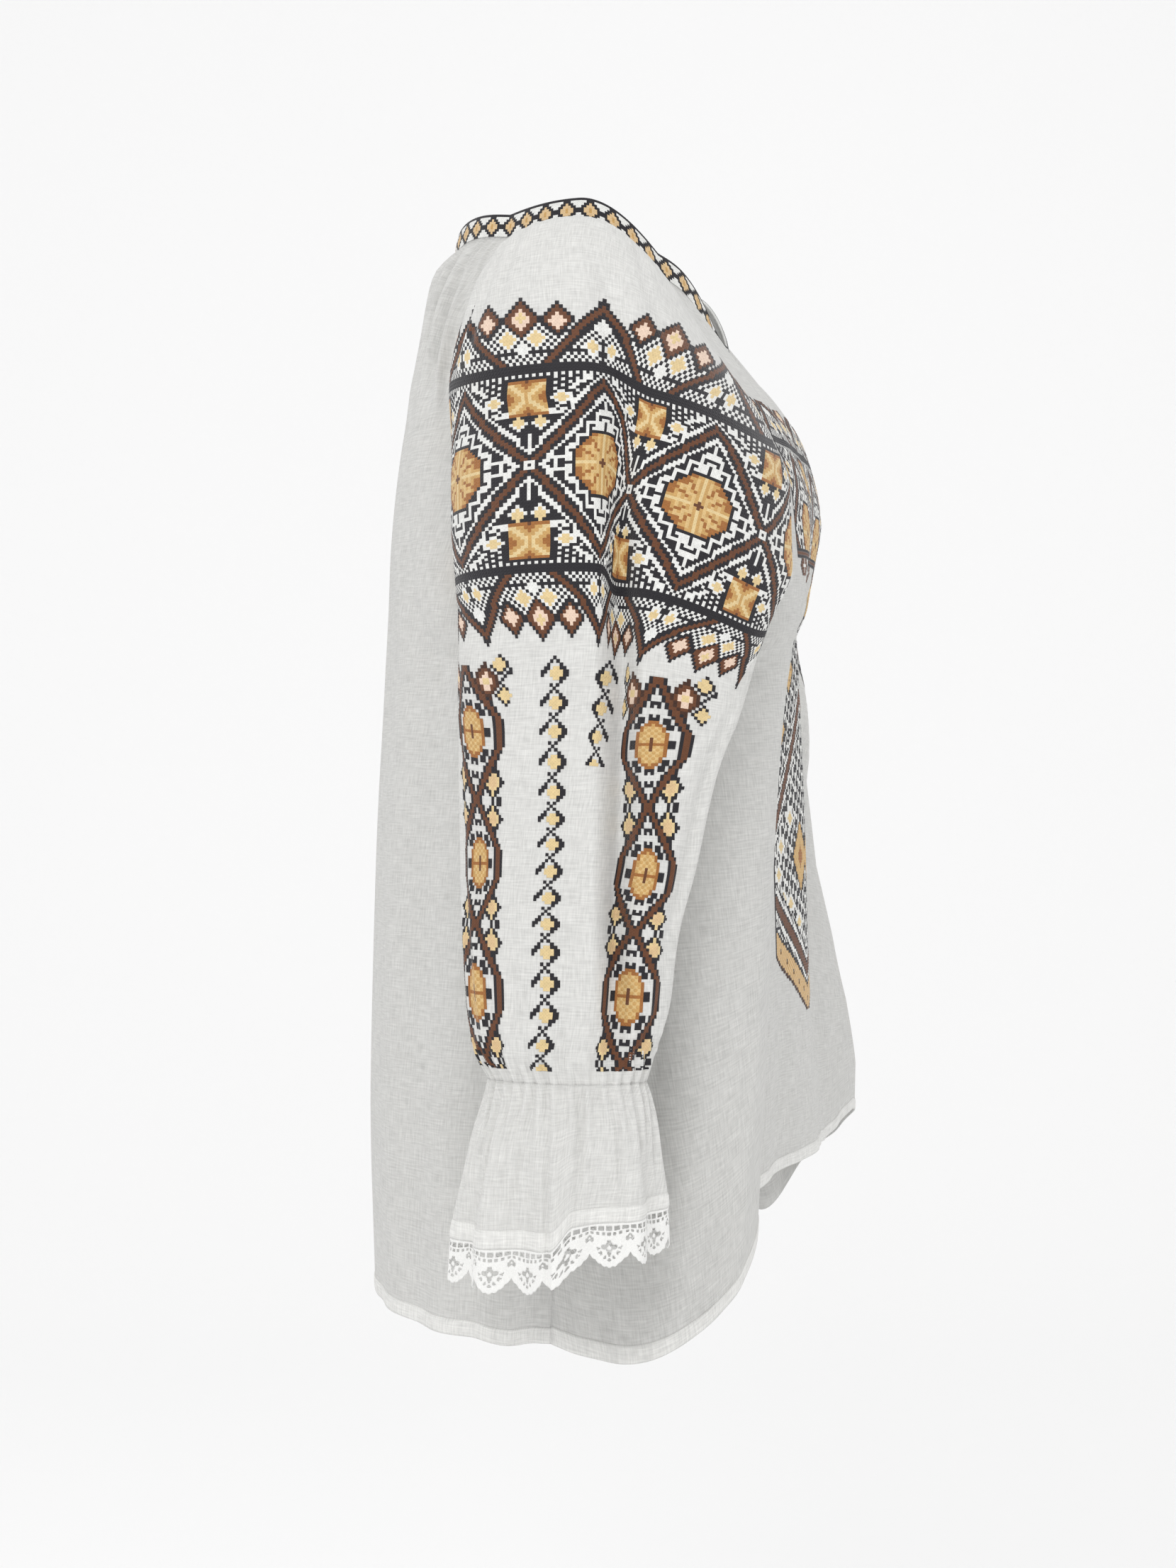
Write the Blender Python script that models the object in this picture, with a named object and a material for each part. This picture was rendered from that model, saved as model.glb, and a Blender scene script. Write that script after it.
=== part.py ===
"""Embroidered peasant blouse, filled out as it is worn, with nothing inside.

Metres, +Z up. The front faces -Y and the wearer's right is at -X. The origin is the middle of
the neck opening, level with the shoulders, where the wearer's shoulders carry the blouse.

The cloth is one skin. Rings run round it from the neckband down, and it is cut along its
seams into the pieces a maker sews: front, back, two raglan sleeves, neckband, ruffles and
lace. Neighbouring pieces share the points and the directions of their seam, so that their
walls meet edge to edge with a small gap.
"""

import math
from collections import namedtuple

import bpy
import numpy as np

# Driving dimensions
CLOTH_WALL = 0.0012
HEM_WALL = 0.0021
BAND_WALL = 0.0020
LACE_WALL = 0.0011
SEAM_GAP = 0.0003
LEAST_LEAN = 0.5
BAND_HEIGHT = 0.015
BAND_LEAN = 0.0025
PANEL_COLUMNS = 24
SLEEVE_COLUMNS = 32
GATHERS_PER_WRIST = 32
LACE_REPEATS = 16
LACE_AT_VALLEY = 0.0165
LACE_AT_POINT = 0.0245

# Rows of the skin count down from the neckband at 0. The armpit is row 6, the hem row 9 and
# the wrist row 11.
ARMPIT_ROW = 6.0
HEM_ROW = 9.0
WRIST_ROW = 11.0
YOKE_ROWS = np.array([0.0, 0.35, 1.1, 2.1, 3.1, 4.1, 4.9, 5.5, ARMPIT_ROW])
GATHERED_ROWS = 2
SKIRT_ROWS = np.array([6.7, 7.4, 8.0, 8.45, 8.9, HEM_ROW])
TUBE_ROWS = np.array([6.5, 7.0, 7.5, 8.0, 8.5, 9.0])
WRIST_FINE_ROW = 9.7
WRIST_FULL_ROW = 10.5

# One line of a half body: each place is x out from the middle, y and z.
FrontLine = namedtuple("FrontLine", "row side flank crest dent centre")
FRONT = (
    FrontLine(
        0, (.066, -.066, -.030), (.051, -.079, -.039), (.035, -.090, -.0575),
        (.018, -.0965, -.0755), (0, -.0985, -.080),
    ),
    FrontLine(
        1, (.088, -.112, -.092), (.067, -.119, -.096), (.045, -.123, -.099),
        (.022, -.1245, -.100), (0, -.1245, -.100),
    ),
    FrontLine(
        2, (.105, -.143, -.136), (.081, -.1465, -.136), (.055, -.1475, -.136),
        (.028, -.147, -.136), (0, -.1465, -.136),
    ),
    FrontLine(
        3, (.120, -.1615, -.182), (.092, -.1635, -.183), (.062, -.163, -.184),
        (.030, -.1595, -.184), (0, -.158, -.184),
    ),
    FrontLine(
        4, (.136, -.163, -.228), (.112, -.166, -.226), (.080, -.165, -.224),
        (.040, -.1575, -.223), (0, -.1535, -.222),
    ),
    FrontLine(
        5, (.160, -.125, -.268), (.140, -.153, -.266), (.104, -.162, -.263),
        (.050, -.149, -.262), (0, -.1435, -.262),
    ),
    FrontLine(
        6, (.176, -.040, -.300), (.163, -.113, -.298), (.120, -.157, -.294),
        (.060, -.146, -.292), (0, -.145, -.292),
    ),
    FrontLine(
        7, (.191, -.038, -.400), (.188, -.116, -.400), (.142, -.1545, -.396),
        (.078, -.1405, -.391), (0, -.149, -.390),
    ),
    FrontLine(
        8, (.203, -.036, -.550), (.203, -.113, -.550), (.160, -.1530, -.520),
        (.090, -.1395, -.502), (0, -.1515, -.500),
    ),
    FrontLine(
        9, (.212, -.034, -.692), (.215, -.100, -.6945), (.176, -.149, -.640),
        (.100, -.1375, -.612), (0, -.158, -.605),
    ),
)
BackLine = namedtuple("BackLine", "row side flank blade centre")
BACK = (
    BackLine(
        0, (.070, .036, .0005), (.060, .058, .0035),
        (.036, .080, .0030), (0, .0930, -.0005),
    ),
    BackLine(
        0.35, (.080, .043, -.014), (.069, .070, -.0145),
        (.046, .0925, -.017), (0, .1040, -.018),
    ),
    BackLine(
        1, (.095, .051, -.050), (.081, .081, -.055),
        (.050, .1010, -.058), (0, .1110, -.060),
    ),
    BackLine(
        2, (.115, .054, -.100), (.100, .087, -.104),
        (.061, .1075, -.107), (0, .1160, -.110),
    ),
    BackLine(
        3, (.130, .049, -.150), (.118, .083, -.150),
        (.076, .1090, -.150), (0, .1185, -.150),
    ),
    BackLine(
        4, (.145, .040, -.200), (.132, .077, -.200),
        (.085, .1105, -.200), (0, .1215, -.200),
    ),
    BackLine(
        5, (.162, .018, -.255), (.151, .062, -.252),
        (.095, .1090, -.250), (0, .1235, -.250),
    ),
    BackLine(
        6, (.176, -.040, -.300), (.169, .033, -.300),
        (.106, .1080, -.300), (0, .1245, -.300),
    ),
    BackLine(
        7, (.191, -.038, -.400), (.181, .037, -.400),
        (.114, .1110, -.400), (0, .1270, -.400),
    ),
    BackLine(
        8, (.203, -.036, -.550), (.191, .040, -.550),
        (.121, .1125, -.550), (0, .1310, -.550),
    ),
    BackLine(
        9, (.212, -.034, -.692), (.199, .040, -.691),
        (.127, .1070, -.684), (0, .1310, -.684),
    ),
)
# One ring of a sleeve: its middle, the height of its outer line, its half sizes, how far its
# front and back hang below the outer line, the turn in degrees from the outer line to each
# edge, and the turn and depth of the long pressed fold.
SleeveRing = namedtuple(
    "SleeveRing", "row x y z half_x half_y front_drop back_drop front_turn back_turn fold_turn fold"
)
SLEEVE = (
    SleeveRing(0.00, .000, -.0180, .0035, .0905, .0800, .100, .008, 36, 37, 9, .000),
    SleeveRing(0.45, .035, -.0240, -.003, .0930, .0900, .070, .025, 58, 56, 14, .000),
    SleeveRing(1.00, .070, -.0310, -.046, .1020, .0950, .045, .012, 80, 75, 17, .003),
    SleeveRing(2.00, .105, -.0410, -.102, .0950, .1040, .035, .003, 88, 88, 15, .007),
    SleeveRing(3.00, .140, -.0560, -.147, .0740, .1020, .035, .003, 100, 100, 11, .010),
    SleeveRing(4.00, .165, -.0610, -.193, .0630, .1000, .036, .004, 115, 108, 10, .012),
    SleeveRing(5.00, .195, -.0650, -.251, .0460, .0930, .034, .004, 140, 122, 11, .014),
    SleeveRing(6.00, .2190, -.0620, -.327, .0345, .0830, .022, .003, 195, 165, 17, .015),
    SleeveRing(7.00, .2325, -.0573, -.385, .0320, .0728, .010, .002, 195, 165, 25, .015),
    SleeveRing(8.00, .2430, -.0540, -.440, .0305, .0645, .004, .000, 195, 165, 32, .014),
    SleeveRing(9.00, .2520, -.0553, -.487, .0295, .0598, .000, .000, 195, 165, 36, .010),
    SleeveRing(10.0, .2585, -.0547, -.512, .0280, .0528, .000, .000, 195, 165, 38, .005),
    SleeveRing(11.0, .2625, -.0575, -.528, .0260, .0450, .000, .000, 195, 165, 38, .000),
)
FOLD_HALF_WIDTH = 0.016
# Columns from the outer line to the pressed fold, and how far those in front crowd towards it
FOLD_COLUMNS = 4
FOLD_CROWDING = 0.6
# For x, y and z: how quickly the pull of the seam fades round the sleeve, and how many rows
# below the armpit it reaches
SEAM_PULL = np.array([3.0, 3.0, 2.0])
ARMPIT_HOLD = np.array([0.6, 0.6, 1.5])
# One ring of a ruffle: level, middle, half sizes, height of the gathers and of the wide waves
RuffleRing = namedtuple("RuffleRing", "z x y half_x half_y gather wave")
RUFFLE = (
    RuffleRing(-.528, .2625, -.0575, .0260, .0450, .0017, .0000),
    RuffleRing(-.540, .2650, -.0585, .0285, .0480, .0019, .0005),
    RuffleRing(-.558, .2690, -.0588, .0310, .0525, .0011, .0018),
    RuffleRing(-.582, .2722, -.0588, .0337, .0563, .0003, .0033),
    RuffleRing(-.602, .2745, -.0587, .0355, .0592, .0000, .0045),
    RuffleRing(-.613, .2753, -.0587, .0363, .0603, .0000, .0048),
)
RUFFLE_WAVES = 8
# The hem of the ruffle laps over itself just in front of the outer line: its front part is
# higher and set back
LAP_TURN = 3.0
LAP_WIDTH = 12.0
LAP_RISE = 0.012
LAP_SET_BACK = 0.004
RUFFLE_HEM_TILT = 0.005
RUFFLE_LOW_TURN = -45.0
# How far the wearer's left front stands back, by depth below the origin
LeftPose = namedtuple("LeftPose", "depth set_back")
LEFT_POSE = (
    LeftPose(.00, .004),
    LeftPose(.03, .016),
    LeftPose(.06, .012),
    LeftPose(.09, .006),
    LeftPose(.13, .010),
    LeftPose(.17, .020),
    LeftPose(.21, .037),
    LeftPose(.25, .0545),
    LeftPose(.29, .042),
    LeftPose(.34, .029),
    LeftPose(.42, .021),
    LeftPose(.47, .010),
    LeftPose(.53, .000),
    LeftPose(.60, -.008),
)
LEFT_HEM_RISE = 0.046
LEFT_SLEEVE_OUT = 0.4
# A soft fold in a panel: place across it at its top and foot, first and last row, rise and half width
PanelFold = namedtuple("PanelFold", "top_across foot_across first_row last_row rise half_width")
FRONT_FOLDS = (
    PanelFold(.12, .10, 7.3, 9.6, .006, .045),
    PanelFold(.20, .21, 7.0, 9.6, -.005, .040),
    PanelFold(.42, .40, 7.2, 9.6, .003, .035),
    PanelFold(.60, .62, 7.0, 9.6, .004, .035),
    PanelFold(.86, .885, 7.3, 9.8, .006, .045),
    PanelFold(.93, .95, 7.2, 9.8, -.004, .035),
)
BACK_FOLDS = (
    PanelFold(.06, .07, 6.8, 9.8, -.006, .045),
    PanelFold(.15, .16, 6.4, 9.8, .005, .050),
    PanelFold(.27, .25, 2.0, 9.6, .004, .050),
    PanelFold(.42, .40, 3.0, 9.6, -.004, .045),
    PanelFold(.58, .60, 2.6, 9.6, .004, .050),
    PanelFold(.74, .76, 2.0, 9.6, -.004, .045),
    PanelFold(.86, .85, 6.4, 9.8, .005, .050),
    PanelFold(.94, .93, 6.8, 9.8, -.006, .045),
)
NECK_GATHER_COLUMNS = 4
FRONT_NECK_GATHER = 0.0010
BACK_NECK_GATHER = 0.0026
# A low place of the body's hem: where it is across the panel, how far it hangs and its half width
HemDip = namedtuple("HemDip", "across depth half_width")
FRONT_DIPS = (HemDip(.080, .0235, .055), HemDip(.16, -.006, .05), HemDip(.80, .004, .08))
BACK_DIPS = (HemDip(.07, .004, .05), HemDip(.95, .004, .04), HemDip(.35, .003, .08))


def steady_curve(knots, values, at):
    """A curve through the values with no overshoot: cubic pieces whose slope at each knot is
    the harmonic mean of the slopes beside it, or zero where those differ in sign."""
    knots = np.asarray(knots, float)
    values = np.asarray(values, float)
    width = np.diff(knots)
    steps = np.diff(values, axis=0) / width[:, None]
    before, after = steps[:-1], steps[1:]
    with np.errstate(divide="ignore", invalid="ignore"):
        mean = 2.0 * before * after / (before + after)
    slopes = np.zeros_like(values)
    slopes[1:-1] = np.where(before * after > 0.0, mean, 0.0)
    slopes[0] = steps[0]
    slopes[-1] = steps[-1]
    at = np.asarray(at, float)
    piece = np.clip(np.searchsorted(knots, at, side="right") - 1, 0, len(width) - 1)
    span = width[piece][:, None]
    t = ((at - knots[piece])[:, None]) / span
    return (
        (1 + 2 * t) * (1 - t) ** 2 * values[piece]
        + t * (1 - t) ** 2 * span * slopes[piece]
        + t * t * (3 - 2 * t) * values[piece + 1]
        + t * t * (t - 1) * span * slopes[piece + 1]
    )


def smooth_curve(values, at):
    """The natural cubic spline through values at knots 0, 1, 2 and so on."""
    count = len(values)
    system = np.eye(count)
    bends = np.zeros_like(values)
    for i in range(1, count - 1):
        system[i, i - 1 : i + 2] = (1.0, 4.0, 1.0)
        bends[i] = 6.0 * (values[i + 1] - 2.0 * values[i] + values[i - 1])
    second = np.linalg.solve(system, bends)
    piece = np.clip(at.astype(int), 0, count - 2)
    t = (at - piece)[:, None]
    back = 1.0 - t
    return (
        back * values[piece]
        + t * values[piece + 1]
        + ((back**3 - back) * second[piece] + (t**3 - t) * second[piece + 1]) / 6.0
    )


def ease(t):
    """0 to 1 with a level start and finish."""
    t = np.clip(t, 0.0, 1.0)
    return t * t * (3.0 - 2.0 * t)


def bump(distance, half_width):
    """1 at the middle, falling smoothly to 0 at the half width."""
    t = np.clip(np.abs(distance) / half_width, 0.0, 1.0)
    return 0.5 + 0.5 * np.cos(math.pi * t)


def places(lines, names, mirror_order):
    """The control points of a panel: one row for each line, from one side seam to the other."""
    net = []
    for line in lines:
        half = [np.array(getattr(line, name)) for name in names]
        far = [point * (-1, 1, 1) for point in half]
        first, second = (half, far) if mirror_order > 0 else (far, half)
        net.append(first + second[-2::-1])
    return np.array(net)


def outward(grid):
    """Unit directions out of a grid whose rows go down and whose columns go left, seen from outside."""
    down = np.gradient(grid, axis=0)
    along = np.gradient(grid, axis=1)
    normal = np.cross(along, down)
    return normal / np.linalg.norm(normal, axis=2, keepdims=True)


def panel(lines, names, mirror_order, folds, dips, neck_gather, finer):
    """A front or back panel as rings of points, with its soft folds and its gathers at the neck.
    finer is how many times the first rings have the columns of the others."""
    knots = [line.row for line in lines]
    net = places(lines, names, mirror_order)
    rows = np.concatenate([YOKE_ROWS, SKIRT_ROWS])
    count = PANEL_COLUMNS * finer
    columns = np.linspace(0.0, net.shape[1] - 1.0, count + 1)
    across = np.linspace(0.0, 1.0, count + 1)
    controls = steady_curve(knots, net.reshape(len(lines), -1), rows)
    controls = controls.reshape(len(rows), net.shape[1], 3)
    grid = np.array([smooth_curve(line, columns) for line in controls])
    rise = np.zeros(grid.shape[:2])
    for fold in folds:
        length = np.clip((rows - fold.first_row) / (fold.last_row - fold.first_row), 0.0, 1.0)
        place = fold.top_across + (fold.foot_across - fold.top_across) * length
        strength = fold.rise * ease(length * 1.6)
        rise += strength[:, None] * bump(across[None, :] - place[:, None], fold.half_width)
    turn = 2.0 * math.pi * np.arange(count + 1) / NECK_GATHER_COLUMNS
    fade = ease(rows / 0.5) * (1.0 - ease((rows - 0.5) / 2.4))
    rise += neck_gather * fade[:, None] * np.cos(turn)[None, :]
    edge = ease(across / 0.05) * ease((1.0 - across) / 0.05)
    grid = grid + outward(grid) * (rise * edge[None, :])[:, :, None]
    low = ease((rows - 8.0) / 1.0)
    for dip in dips:
        grid[:, :, 2] -= dip.depth * low[:, None] * bump(across - dip.across, dip.half_width)[None, :]
    return [line if number < GATHERED_ROWS else line[::finer] for number, line in enumerate(grid)]


def ring_turns(count, front_turn, back_turn, fold_turn, evenness):
    """Turns in degrees of a ring's columns, from its front edge past the outer line to its back
    edge. One column always lies in the pressed fold. evenness 1 spaces the columns evenly."""
    half = count // 2
    fold = FOLD_COLUMNS * half // (SLEEVE_COLUMNS // 2)
    t = np.arange(1, half - fold + 1) / (half - fold)
    crowded = (1.0 - FOLD_CROWDING) * t + FOLD_CROWDING * t**2
    front = np.concatenate(
        [fold_turn * np.arange(fold + 1) / fold, fold_turn + (front_turn - fold_turn) * crowded]
    )
    even = front_turn * np.arange(half + 1) / half
    front = front + evenness * (even - front)
    back = np.arange(1, half + 1) / half
    return np.concatenate([front[::-1], -back * back_turn])


def gather_heights(count, height):
    """Small gathers round a ring, two or four columns to each, of slightly uneven height."""
    index = np.arange(count + 1)
    turn = 2.0 * math.pi * index * GATHERS_PER_WRIST / count
    uneven = 0.78 + 0.22 * np.sin(index * 37.0 * 2.0 * math.pi / count)
    return height * uneven * np.cos(turn)


def ellipse(x, y, half_x, half_y, degrees, rise):
    """Points of an ellipse at these turns, moved out of it by rise, with x counted out from the body."""
    turn = np.radians(degrees)
    normal = np.stack([np.cos(turn) / half_x, -np.sin(turn) / half_y], axis=1)
    normal /= np.linalg.norm(normal, axis=1, keepdims=True)
    ring = np.stack([x + half_x * np.cos(turn), y - half_y * np.sin(turn)], axis=1)
    return ring + normal * np.asarray(rise)[:, None]


def seam_points(lines, rows):
    sides = [line.side for line in lines]
    return steady_curve([line.row for line in lines], sides, rows)


def sleeve_ring(row, count):
    """One ring of the sleeve with x counted out from the body: an ellipse with its front and
    back hanging lower, its pressed fold, its gathers near the wrist and, above the armpit, its
    two edges brought onto the seams with the front and the back."""
    ring = SleeveRing(*steady_curve([r.row for r in SLEEVE], SLEEVE, [row])[0])
    evenness = ease((row - 9.0) / 1.5)
    turns = ring_turns(count, ring.front_turn, ring.back_turn, ring.fold_turn, evenness)
    rise = -ring.fold * bump(np.radians(turns - ring.fold_turn) * ring.half_y, FOLD_HALF_WIDTH)
    rise += gather_heights(count, RUFFLE[0].gather * ease((row - 9.0) / 1.8))
    flat = ellipse(ring.x, ring.y, ring.half_x, ring.half_y, turns, rise)
    lean = np.sin(np.radians(np.clip(turns, -90.0, 90.0))) ** 2
    z = ring.z - np.where(turns > 0, ring.front_drop, ring.back_drop) * lean
    points = np.column_stack([flat, z])
    seam_row = min(row, ARMPIT_ROW)
    ends = (seam_points(FRONT, [seam_row])[0], seam_points(BACK, [seam_row])[0])
    hold = 1.0 - ease((row - ARMPIT_ROW) / ARMPIT_HOLD)
    s = np.linspace(0.0, 1.0, count + 1)
    front_share = np.clip(1.0 - 2.0 * s, 0.0, 1.0)[:, None] ** SEAM_PULL
    back_share = front_share[::-1]
    points = (
        points
        + front_share * hold * (ends[0] - points[0])
        + back_share * hold * (ends[1] - points[-1])
    )
    if row >= ARMPIT_ROW:
        points[-1] = points[0]
    return points


def sleeve_rings():
    """All rings of a sleeve, with two and then four columns to a gather near the wrist."""
    rings = [sleeve_ring(row, SLEEVE_COLUMNS) for row in np.concatenate([YOKE_ROWS, TUBE_ROWS])]
    rings.append(sleeve_ring(WRIST_FINE_ROW, 2 * SLEEVE_COLUMNS))
    rings.append(sleeve_ring(WRIST_FULL_ROW, 4 * SLEEVE_COLUMNS))
    rings.append(sleeve_ring(WRIST_ROW, 4 * SLEEVE_COLUMNS))
    return rings


def ruffle_ring(ring, count, below_wrist):
    """One ring of the ruffle: an ellipse with gathers, wide waves and a hem that hangs lower at
    the back."""
    turns = ring_turns(count, SLEEVE[-1].front_turn, SLEEVE[-1].back_turn, LAP_TURN, 1.0)
    wave = np.cos(2.0 * math.pi * RUFFLE_WAVES * np.arange(count + 1) / count + 0.6)
    lap = ease((turns - LAP_TURN) / LAP_WIDTH) * (1.0 - ease((turns - 120.0) / 60.0))
    rise = gather_heights(count, ring.gather) + ring.wave * wave
    rise -= LAP_SET_BACK * lap * below_wrist
    flat = ellipse(ring.x, ring.y, ring.half_x, ring.half_y, turns, rise)
    tilt = RUFFLE_HEM_TILT * np.cos(np.radians(turns - RUFFLE_LOW_TURN)) - LAP_RISE * lap
    points = np.column_stack([flat, ring.z - tilt * below_wrist])
    points[-1] = points[0]
    return points


def ruffle_rings(wrist):
    """The rings of a ruffle, from the wrist that it shares with its sleeve to its hem."""
    height = RUFFLE[0].z - RUFFLE[-1].z
    full = 4 * SLEEVE_COLUMNS
    rings = [wrist]
    for number, ring in enumerate(RUFFLE[1:]):
        count = full if number == 0 else full // 2
        rings.append(ruffle_ring(ring, count, (RUFFLE[0].z - ring.z) / height))
    return rings


def lace_rings(hem, inner_ring):
    """The rows of the lace edging below a ruffle's hem. Its foot is scalloped: deep in the
    middle of each repeat and short between repeats. It follows the slope of the ruffle."""
    count = len(hem) - 1
    place = np.arange(count + 1) * LACE_REPEATS / count
    depth = LACE_AT_VALLEY + (LACE_AT_POINT - LACE_AT_VALLEY) * np.sin(math.pi * (place % 1.0))
    slope = hem - inner_ring
    slope /= np.linalg.norm(slope, axis=1, keepdims=True)
    slope[:, :2] *= 0.4
    return [hem + slope * (depth * part)[:, None] for part in (0.0, 0.22, 0.48, 0.74, 1.0)]


def cells(rings, left_out=()):
    """Faces between rings of points. A ring may have twice or half the columns of the one above it."""
    faces = []
    start = 0
    for row, (upper, lower) in enumerate(zip(rings[:-1], rings[1:])):
        below = start + len(upper)
        top, foot = len(upper) - 1, len(lower) - 1
        for j in range(min(top, foot)):
            if top == foot:
                if (row, j) not in left_out:
                    faces.append((start + j, start + j + 1, below + j + 1, below + j))
            elif foot > top:
                a, b, c = start + j, start + j + 1, below + 2 * j
                d, e = c + 1, c + 2
                faces += [(a, d, c), (a, b, d), (b, e, d)]
            else:
                a, d, e = start + 2 * j, below + j, below + j + 1
                b, c = a + 1, a + 2
                faces += [(a, b, d), (b, e, d), (b, c, e)]
        start = below
    return faces


Sheet = namedtuple("Sheet", "name points faces walls material")


def sheet(name, rings, walls, material, left_out=()):
    """A piece of the skin: its rings made one list of points, with points at the same place made one.
    walls is the thickness at each ring."""
    points = np.concatenate(rings)
    thickness = np.concatenate([np.full(len(r), w) for r, w in zip(rings, walls)])
    keys, first, index = np.unique(
        np.round(points, 7), axis=0, return_index=True, return_inverse=True
    )
    index = index.reshape(-1)
    faces = [tuple(index[list(face)]) for face in cells(rings, left_out)]
    used = np.unique(np.concatenate([np.array(face) for face in faces]))
    renumber = {old: new for new, old in enumerate(used)}
    faces = [tuple(renumber[i] for i in face) for face in faces]
    return Sheet(name, points[first][used], faces, thickness[first][used], material)


def face_directions(points, faces):
    """Each face's direction, as long as twice its area."""
    first = np.array([f[0] for f in faces])
    second = np.array([f[1] for f in faces])
    third = np.array([f[2] for f in faces])
    last = np.array([f[-1] for f in faces])
    return np.cross(points[third] - points[first], points[last] - points[second]) + np.where(
        (third == last)[:, None],
        np.cross(points[second] - points[first], points[third] - points[first])
        - np.cross(points[third] - points[first], points[last] - points[second]),
        0.0,
    )


def own_directions(piece):
    """The outward direction at each point of one sheet."""
    sums = np.zeros_like(piece.points)
    for face, direction in zip(piece.faces, face_directions(piece.points, piece.faces)):
        for corner in face:
            sums[corner] += direction
    return sums / np.linalg.norm(sums, axis=1, keepdims=True)


def shared_directions(sheets):
    """The outward direction at each point of every sheet. On a seam it is midway between those
    of the pieces that meet there, unless that is too far from the piece's own direction."""
    own = [own_directions(piece) for piece in sheets]
    keys = [[tuple(point) for point in np.round(piece.points, 6)] for piece in sheets]
    sums = {}
    for piece_keys, directions in zip(keys, own):
        for key, direction in zip(piece_keys, directions):
            sums[key] = sums.get(key, 0.0) + direction
    result = []
    for piece_keys, directions in zip(keys, own):
        found = np.array([sums[key] for key in piece_keys])
        found /= np.linalg.norm(found, axis=1, keepdims=True)
        lean = np.sum(found * directions, axis=1, keepdims=True)
        beside = found - lean * directions
        size = np.linalg.norm(beside, axis=1, keepdims=True)
        beside = beside / np.where(size > 0.0, size, 1.0)
        leant = LEAST_LEAN * directions + math.sqrt(1.0 - LEAST_LEAN**2) * beside
        result.append(np.where(lean < LEAST_LEAN, leant, found))
    return result


def edges_of(faces):
    """The edges that have a face on one side only, in that face's own order."""
    seen = {}
    for number, face in enumerate(faces):
        for a, b in zip(face, face[1:] + face[:1]):
            seen[(a, b)] = number
    return [(a, b, number) for (a, b), number in seen.items() if (b, a) not in seen]


def drawn_back(piece, edges):
    """How far each point moves so that the sheet's edges stand back by half a seam gap."""
    directions = face_directions(piece.points, piece.faces)
    ways = {}
    for a, b, number in edges:
        way = np.cross(directions[number], piece.points[b] - piece.points[a])
        way /= np.linalg.norm(way)
        ways.setdefault(a, []).append(way)
        ways.setdefault(b, []).append(way)
    moves = np.zeros_like(piece.points)
    for corner, found in ways.items():
        total = np.sum(found, axis=0)
        share = max(0.35, float(np.dot(found[0], found[-1])) + 1.0)
        moves[corner] = total * (0.5 * SEAM_GAP / share) * (2.0 / len(found))
    return moves


def walled(piece, directions):
    """The points and faces of a closed wall: the sheet, the same sheet moved inwards, and rims
    along its edges. Where a seam lies in a sharp valley the edges stand back further."""
    edges = edges_of(piece.faces)
    lean = np.sum(own_directions(piece) * directions, axis=1)
    outer = piece.points + drawn_back(piece, edges) / np.clip(lean, LEAST_LEAN, 1.0)[:, None]
    inner = outer - directions * piece.walls[:, None]
    count = len(outer)
    faces = list(piece.faces)
    faces += [tuple(count + i for i in reversed(face)) for face in piece.faces]
    faces += [(b, a, count + a, count + b) for a, b, _ in edges]
    return np.concatenate([outer, inner]), faces


def make_material(name, colour, roughness):
    material = bpy.data.materials.new(name)
    material.use_nodes = True
    shader = material.node_tree.nodes["Principled BSDF"]
    shader.inputs["Base Color"].default_value = (*colour, 1.0)
    shader.inputs["Roughness"].default_value = roughness
    shader.inputs["Metallic"].default_value = 0.0
    material.diffuse_color = (*colour, 1.0)
    return material


def make_object(piece, directions, materials):
    points, faces = walled(piece, directions)
    mesh = bpy.data.meshes.new(piece.name)
    mesh.from_pydata(points.tolist(), [], faces)
    mesh.update()
    mesh.shade_smooth()
    mesh.set_sharp_from_angle(angle=math.radians(50.0))
    mesh.materials.append(materials[piece.material])
    built = bpy.data.objects.new(piece.name, mesh)
    bpy.context.collection.objects.link(built)
    return built


def left_posed(points, is_body):
    """The wearer's left front stands back, its sleeve hangs a little further out, and the left
    front of the body's hem is higher."""
    x, y, z = points.T
    depths = [pose.depth for pose in LEFT_POSE]
    back = np.interp(-z, depths, [pose.set_back for pose in LEFT_POSE])
    back = back * ease(x / 0.11) * ease((0.05 - y) / 0.15)
    out = LEFT_SLEEVE_OUT * back * ease((x - 0.17) / 0.06)
    up = np.zeros(len(points))
    if is_body:
        up = LEFT_HEM_RISE * ease((x - 0.10) / 0.10) * ease(-y / 0.10) * ease((-z - 0.47) / 0.15)
    return points + np.column_stack([out, back, up])


def on_side(rings, side):
    """Rings with x counted out from the body, set on the wearer's right or left. The left ones
    run the other way, so that both are in the same order seen from outside."""
    if side == "right":
        return [ring * (-1, 1, 1) for ring in rings]
    return [left_posed(ring[::-1], False) for ring in rings]


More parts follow.
